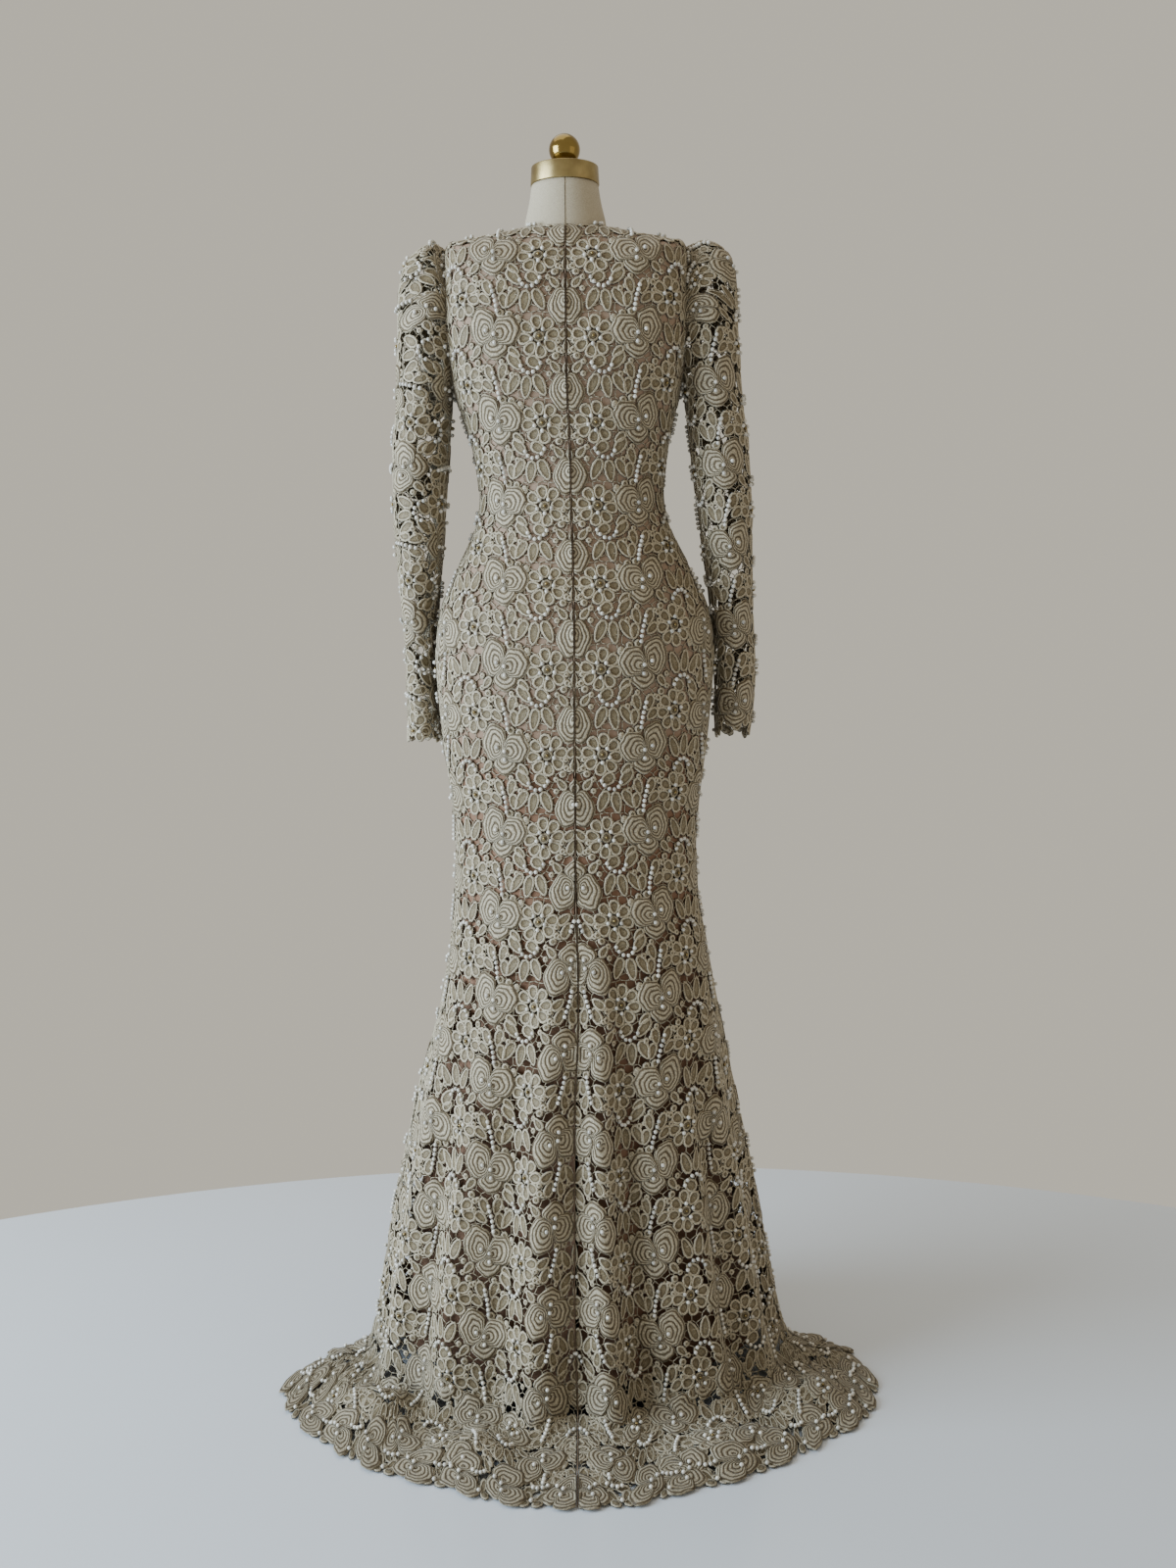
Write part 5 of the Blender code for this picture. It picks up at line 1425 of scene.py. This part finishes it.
def lining_angles(name, rows):
    """A grid of angles over a panel of the lining, between its edges: a row of them for each of the rows.
    The backs stop short of the centre back seam."""
    share = np.linspace(0, 1, 61 if name == "front" else 37)[None]
    edge = side_edge(rows, name == "front")[:, None]
    if name == "front":
        return 180 - edge + 2 * edge * share
    return (edge - LINING_GROOVE) * share + (LINING_GROOVE if name == "back_right" else -edge)


def zip_shape():
    """The invisible zip's tape, with its coil as two ridges whose height swings from row to row."""
    rows = np.linspace(SEAM_TOP_ROW, HIP, ZIP_ROWS)
    middle = lining_point(0.0, rows, LINING_WALL)
    out = unit(lining_point(0.0, rows) - middle)
    teeth = 1 + 0.35 * np.cos(np.arange(ZIP_ROWS) * math.pi)
    across = np.array([1.0, 0.0, 0.0]) * np.array(ZIP_ACROSS)[:, None]
    height = np.array(ZIP_RIDGE) * teeth[:, None] - ZIP_SINK
    face = middle[:, None] + across + out[:, None] * height[..., None]
    return wall_shape(face - out[:, None] * ZIP_TAPE, face)


class GOWN_OT_lining(bpy.types.Operator):
    """Add the lining's three panels and the invisible zip in its centre back seam"""

    bl_idname = "gown.lining"
    bl_label = "Lining and Zip"
    bl_options = {"REGISTER", "UNDO"}

    def execute(self, context):
        sizes = context.scene.gown
        crepe = lining_material(tuple(sizes.lining_high), tuple(sizes.lining_low))
        rows = np.concatenate([np.linspace(0, KNEE, 90)[:-1], np.linspace(KNEE, row_at(LINING_HEM_Z), 40)])
        for name in ("front", "back_left", "back_right"):
            angles = lining_angles(name, rows)
            outer = lining_point(angles, rows[:, None])
            shape = wall_shape(lining_point(angles, rows[:, None], LINING_WALL), outer)
            piece = add_piece(f"lining_{name}_crepe", shape, crepe, ["lining_" + name])
            width = float(running_length(outer.swapaxes(0, 1))[-1].max())
            length = float(running_length(outer[:, angles.shape[1] // 2])[-1])
        tape = mottled_material("zip_tape_weave", "#3E3027", "#54453A", 800.0, 0.0003, Roughness=0.7)
        add_piece("zip_tape_and_coil", zip_shape(), tape, ["centre_back_zip"])
        return {"FINISHED"}


def edge_path(points, close=False):
    """A path's points spaced evenly, an EDGE_STEP or a little more apart."""
    length = running_length(points)
    even = on_line(np.linspace(0, length[-1], max(8, int(length[-1] / EDGE_STEP))), length, points)
    return even[:-1] if close else even


def out_from_axis(path):
    return unit(path * np.array([1.0, 1.0, 0.0]))


class GOWN_OT_edges(bpy.types.Operator):
    """Add the cords that bind the neckline, the armholes and the centre back seam"""

    bl_idname = "gown.edges"
    bl_label = "Bound Edges"
    bl_options = {"REGISTER", "UNDO"}

    def execute(self, context):
        sizes = context.scene.gown
        thread = mottled_material("bound_edge_thread", sizes.valley, sizes.cord, 700.0, 0.0004,
                                  Roughness=0.75, Sheen_Weight=0.2)
        path = edge_path(gown_point(np.linspace(-180, 180, 400), 0.02), close=True)
        path = path + out_from_axis(path) * BINDING_OUT
        up = np.tile([0.0, 0.0, 1.0], (len(path), 1))
        add_piece("neckline_binding", cord_shape(path, up, BINDING_RADIUS, closed=True), thread)
        seam = mottled_material("seam_thread", "#6B5846", "#8A765F", 700.0, 0.0004, Roughness=0.8)
        rows = np.concatenate([np.linspace(SEAM_TOP_ROW, FLOOR, 700),
                               np.linspace(FLOOR, HEM - 0.1, 90)[1:]])
        path = edge_path(gown_point(0.0, rows))
        normal = unit(np.cross(np.gradient(path, axis=0), np.array([1.0, 0.0, 0.0])))
        cord = cord_shape(path + normal * SEAM_OUT, normal, SEAM_RADIUS, twist=SEAM_TWIST)
        add_piece("centre_back_seam", cord, seam)
        for side, mirror in (("right", 1.0), ("left", -1.0)):
            path = edge_path(armhole_point(np.linspace(0, 360, 400)) * [mirror, 1.0, 1.0], close=True)
            aside = np.tile([mirror, 0.0, 0.0], (len(path), 1))
            cord = cord_shape(path + aside * ARMHOLE_OUT, aside, BINDING_RADIUS, closed=True)
            add_piece("armhole_seam_" + side, cord, seam)
        return {"FINISHED"}


class GOWN_OT_form(bpy.types.Operator):
    """Add the dress form's canvas body and its neck's seam"""

    bl_idname = "gown.form"
    bl_label = "Dress Form"
    bl_options = {"REGISTER", "UNDO"}

    def execute(self, context):
        sizes = context.scene.gown
        around = 120
        turn = np.radians(np.arange(around) * 360.0 / around)
        neck = [np.stack([half_width * np.sin(turn), -depth * np.cos(turn), np.full(around, z)], -1)
                for z, half_width, depth in reversed(NECK_RINGS)]
        rows = np.linspace(0, row_at(FORM_BOTTOM_Z), 44)[:, None]
        body = lining_point(np.degrees(turn), rows, LINING_WALL + LINING_TO_FORM)
        body[-1, :, 2] = FORM_BOTTOM_Z
        rings = np.concatenate([neck, body])
        # The neck, and where it meets the shoulders, is drawn through four times as many rings
        fine = np.concatenate([np.linspace(0, 5, 21), np.arange(6, len(rings))])
        smooth = smooth_columns(rings.reshape(len(rings), -1), fine).reshape(len(fine), around, 3)
        canvas = mottled_material("linen_canvas", sizes.canvas_dark, sizes.canvas_light, 900.0, 0.0005,
                                  Roughness=0.85, Sheen_Weight=0.15)
        add_piece("form_canvas", ring_shape(smooth), canvas, ["dress_form_body"])
        seam = mottled_material("canvas_seam_thread", "#5A4E3E", "#776A55", 700.0, 0.0004, Roughness=0.85)
        path = edge_path(smooth[smooth[:, 0, 2] > NECK_SEAM_END, 0])
        cord = cord_shape(path, out_from_axis(path), SEAM_RADIUS, twist=SEAM_TWIST)
        add_piece("neck_centre_seam", cord, seam)
        return {"FINISHED"}


def turned_shape(profile, around=64):
    """A body turned about the Z axis from (radius, height) points."""
    turn = np.arange(around) * 2 * math.pi / around
    radius, height = np.array(profile).T
    return ring_shape(np.stack([np.outer(radius, np.cos(turn)), np.outer(radius, np.sin(turn)),
                                np.outer(height, np.ones(around))], -1))


def rounded_corner(radius, height, bevel, low, high, count=5):
    """Profile points of a rounded corner of a turned body, between two angles in degrees."""
    turn = np.radians(np.linspace(low, high, count))
    return [(radius - bevel + bevel * math.cos(t), height + bevel * math.sin(t)) for t in turn]


class GOWN_OT_stand(bpy.types.Operator):
    """Add the brass neck cap and ball over the form, and finish its hidden pole and base"""

    bl_idname = "gown.stand"
    bl_label = "Cap, Ball and Stand"
    bl_options = {"REGISTER", "UNDO"}

    def execute(self, context):
        profile = [(CAP_RADII[0] - CAP_FOOT_IN, CAP_LOW)]
        profile += rounded_corner(CAP_RADII[0], CAP_LOW + CAP_BEVEL, CAP_BEVEL, -90, 0)
        profile += rounded_corner(CAP_RADII[1], CAP_HIGH - CAP_BEVEL, CAP_BEVEL, 0, 90)
        profile.append((CAP_MIDDLE_RADIUS, CAP_HIGH + CAP_RISE))
        satin = mottled_material("satin_brass", "#87754E", "#A29063", 60.0, 0.0001, Metallic=1.0,
                                 Roughness=0.34)
        add_piece("brass_cap_turned", turned_shape(profile, 96), satin, ["brass_neck_cap"])
        foot = CAP_HIGH + STEM_FOOT
        start = math.asin(STEM_RADIUS / BALL_RADIUS)
        centre = foot + STEM_HEIGHT + BALL_RADIUS * math.cos(start)
        turns = np.linspace(0.02, math.pi - start, 30)
        profile = [(BALL_RADIUS * math.sin(t), centre + BALL_RADIUS * math.cos(t)) for t in turns]
        profile += [(STEM_RADIUS * share, foot + rise) for share, rise in STEM_OUTLINE]
        polished = mottled_material("polished_brass", "#806A38", "#96804A", 40.0, 0.00005, Metallic=1.0,
                                    Roughness=0.16)
        add_piece("brass_ball_turned", turned_shape(profile, 64), polished, ["brass_ball_finial"])
        steel = mottled_material("powder_coated_steel", "#15130F", "#1F1C18", 500.0, 0.0002, Metallic=0.3,
                                 Roughness=0.5)
        for name in ("stand_pole", "stand_base"):
            node = bpy.data.objects[name]
            node.data.materials.clear()
            node.data.materials.append(steel)
        return {"FINISHED"}


FLOOR_RADIUS = 2.2
FLOOR_MIDDLE = (0.0, -1.46, -0.0005)
AIR_COLOUR = "#DED8C9"
AIR_STRENGTH = 0.80
# The lights: name, place, the point it is aimed at, its side's length, its power in watts and its colour
LIGHTS = (
    ("window_left", (-3.0, -1.1, 1.5), (0, 0, 0.75), 2.2, 280.0, (0.71, 0.87, 1.03)),
    ("bounce_right", (2.6, -1.4, 1.2), (0, 0, 0.8), 2.0, 5.0, (1.0, 0.90, 0.78)),
    ("sky_above", (-0.6, 0.4, 3.6), (0, 0, 0.6), 2.4, 20.0, (0.96, 0.98, 1.0)),
)
# The camera that fits the photo: 2 m behind the gown, looking a little down, and rolled by a hair
CAMERA_PLACE = (0.0195, -2.0, 0.98)
CAMERA_TILT = 84.0
CAMERA_ROLL = -0.69
CAMERA_LENS = 36.0
CAMERA_SENSOR = 36.0


class GOWN_OT_stage(bpy.types.Operator):
    """Add the pale floor, the soft lights and the camera"""

    bl_idname = "gown.stage"
    bl_label = "Floor, Lights and Camera"
    bl_options = {"REGISTER", "UNDO"}

    def execute(self, context):
        sizes = context.scene.gown
        bpy.ops.mesh.primitive_circle_add(vertices=160, radius=FLOOR_RADIUS, fill_type="NGON",
                                          location=FLOOR_MIDDLE)
        floor = context.object
        floor.name = "floor"
        floor.data.materials.append(floor_material(tuple(sizes.floor)))
        world = bpy.data.worlds.new("studio_air")
        world.use_nodes = True
        air = world.node_tree.nodes["Background"].inputs
        air["Color"].default_value = rgba(linear(AIR_COLOUR))
        air["Strength"].default_value = AIR_STRENGTH
        context.scene.world = world
        for name, place, aim, size, power, colour in LIGHTS:
            data = bpy.data.lights.new(name, "AREA")
            data.size, data.energy, data.color = size, power, colour
            light = bpy.data.objects.new(name, data)
            away = np.array(place) - np.array(aim)
            light.location = place
            light.rotation_euler = (math.atan2(math.hypot(away[0], away[1]), away[2]), 0.0,
                                    math.atan2(away[0], -away[1]))
            context.scene.collection.objects.link(light)
        camera = bpy.data.objects.new("camera", bpy.data.cameras.new("camera"))
        camera.data.lens = CAMERA_LENS
        camera.data.sensor_width = CAMERA_SENSOR
        tilt = Matrix.Rotation(math.radians(CAMERA_TILT), 4, "X")
        roll = Matrix.Rotation(math.radians(CAMERA_ROLL), 4, "Z")
        camera.matrix_world = Matrix.Translation(CAMERA_PLACE) @ tilt @ roll
        context.scene.collection.objects.link(camera)
        context.scene.camera = camera
        return {"FINISHED"}


def colour_property(name, code, description):
    return bpy.props.FloatVectorProperty(name=name, description=description, subtype="COLOR", size=3,
                                         min=0.0, max=1.0, default=linear(code))


class GownSettings(bpy.types.PropertyGroup):
    """The sizes and colours that a user of the gown may change"""

    pearl_radius: bpy.props.FloatProperty(
        name="Pearl Radius", description="Radius of the sewn-on pearls", default=0.0027, min=0.001,
        max=0.004, unit="LENGTH", precision=4)
    bead_radius: bpy.props.FloatProperty(
        name="Gold Bead Radius", description="Radius of the daisies' gold beads", default=0.0021, min=0.001,
        max=0.004, unit="LENGTH", precision=4)
    # The cord, valley and mesh colours are lit and shaded tones of one thread: painted highlight and
    # painted shade
    cord: colour_property("Cord", "#B9AC92", "Colour of the lace's raised cords")
    valley: colour_property("Valley", "#76674A", "Colour of the lace between two cords")
    mesh: colour_property("Mesh", "#5E4E37", "Colour of the open stitches inside the motifs")
    pearl: colour_property("Pearl", "#D2CCBF", "Colour of the pearls")
    lining_high: colour_property("Lining", "#8F7864", "Colour of the lining over the body")
    lining_low: colour_property("Lining Below", "#75553E", "Colour of the lining from the thigh down")
    canvas_dark: colour_property("Canvas Dark", "#9C9079", "Darker shade of the form's canvas")
    canvas_light: colour_property("Canvas Light", "#B3A78F", "Lighter shade of the form's canvas")
    floor: colour_property("Floor", "#CCD0D5", "Colour of the studio floor")


class GOWN_PT_panel(bpy.types.Panel):
    """Lists the gown's settings and the operators that build it"""

    bl_idname = "GOWN_PT_panel"
    bl_label = "Mermaid Gown"
    bl_space_type = "VIEW_3D"
    bl_region_type = "UI"
    bl_category = "Gown"

    def draw(self, context):
        for key in GownSettings.__annotations__:
            self.layout.prop(context.scene.gown, key)
        for operator in OPERATORS:
            self.layout.operator(operator.bl_idname)


OPERATORS = (GOWN_OT_form, GOWN_OT_stand, GOWN_OT_lining, GOWN_OT_lace, GOWN_OT_sleeves, GOWN_OT_edges,
             GOWN_OT_stage)
CLASSES = (GownSettings, GOWN_PT_panel, *OPERATORS)


def register():
    for kind in CLASSES:
        bpy.utils.register_class(kind)
    bpy.types.Scene.gown = bpy.props.PointerProperty(type=GownSettings)


def unregister():
    del bpy.types.Scene.gown
    for kind in reversed(CLASSES):
        bpy.utils.unregister_class(kind)


def main():
    """Adds every piece and the stage."""
    register()
    bpy.ops.gown.form()
    bpy.ops.gown.stand()
    bpy.ops.gown.lining()
    bpy.ops.gown.lace()
    bpy.ops.gown.sleeves()
    bpy.ops.gown.edges()
    bpy.ops.gown.stage()


if __name__ == "__main__":
    main()
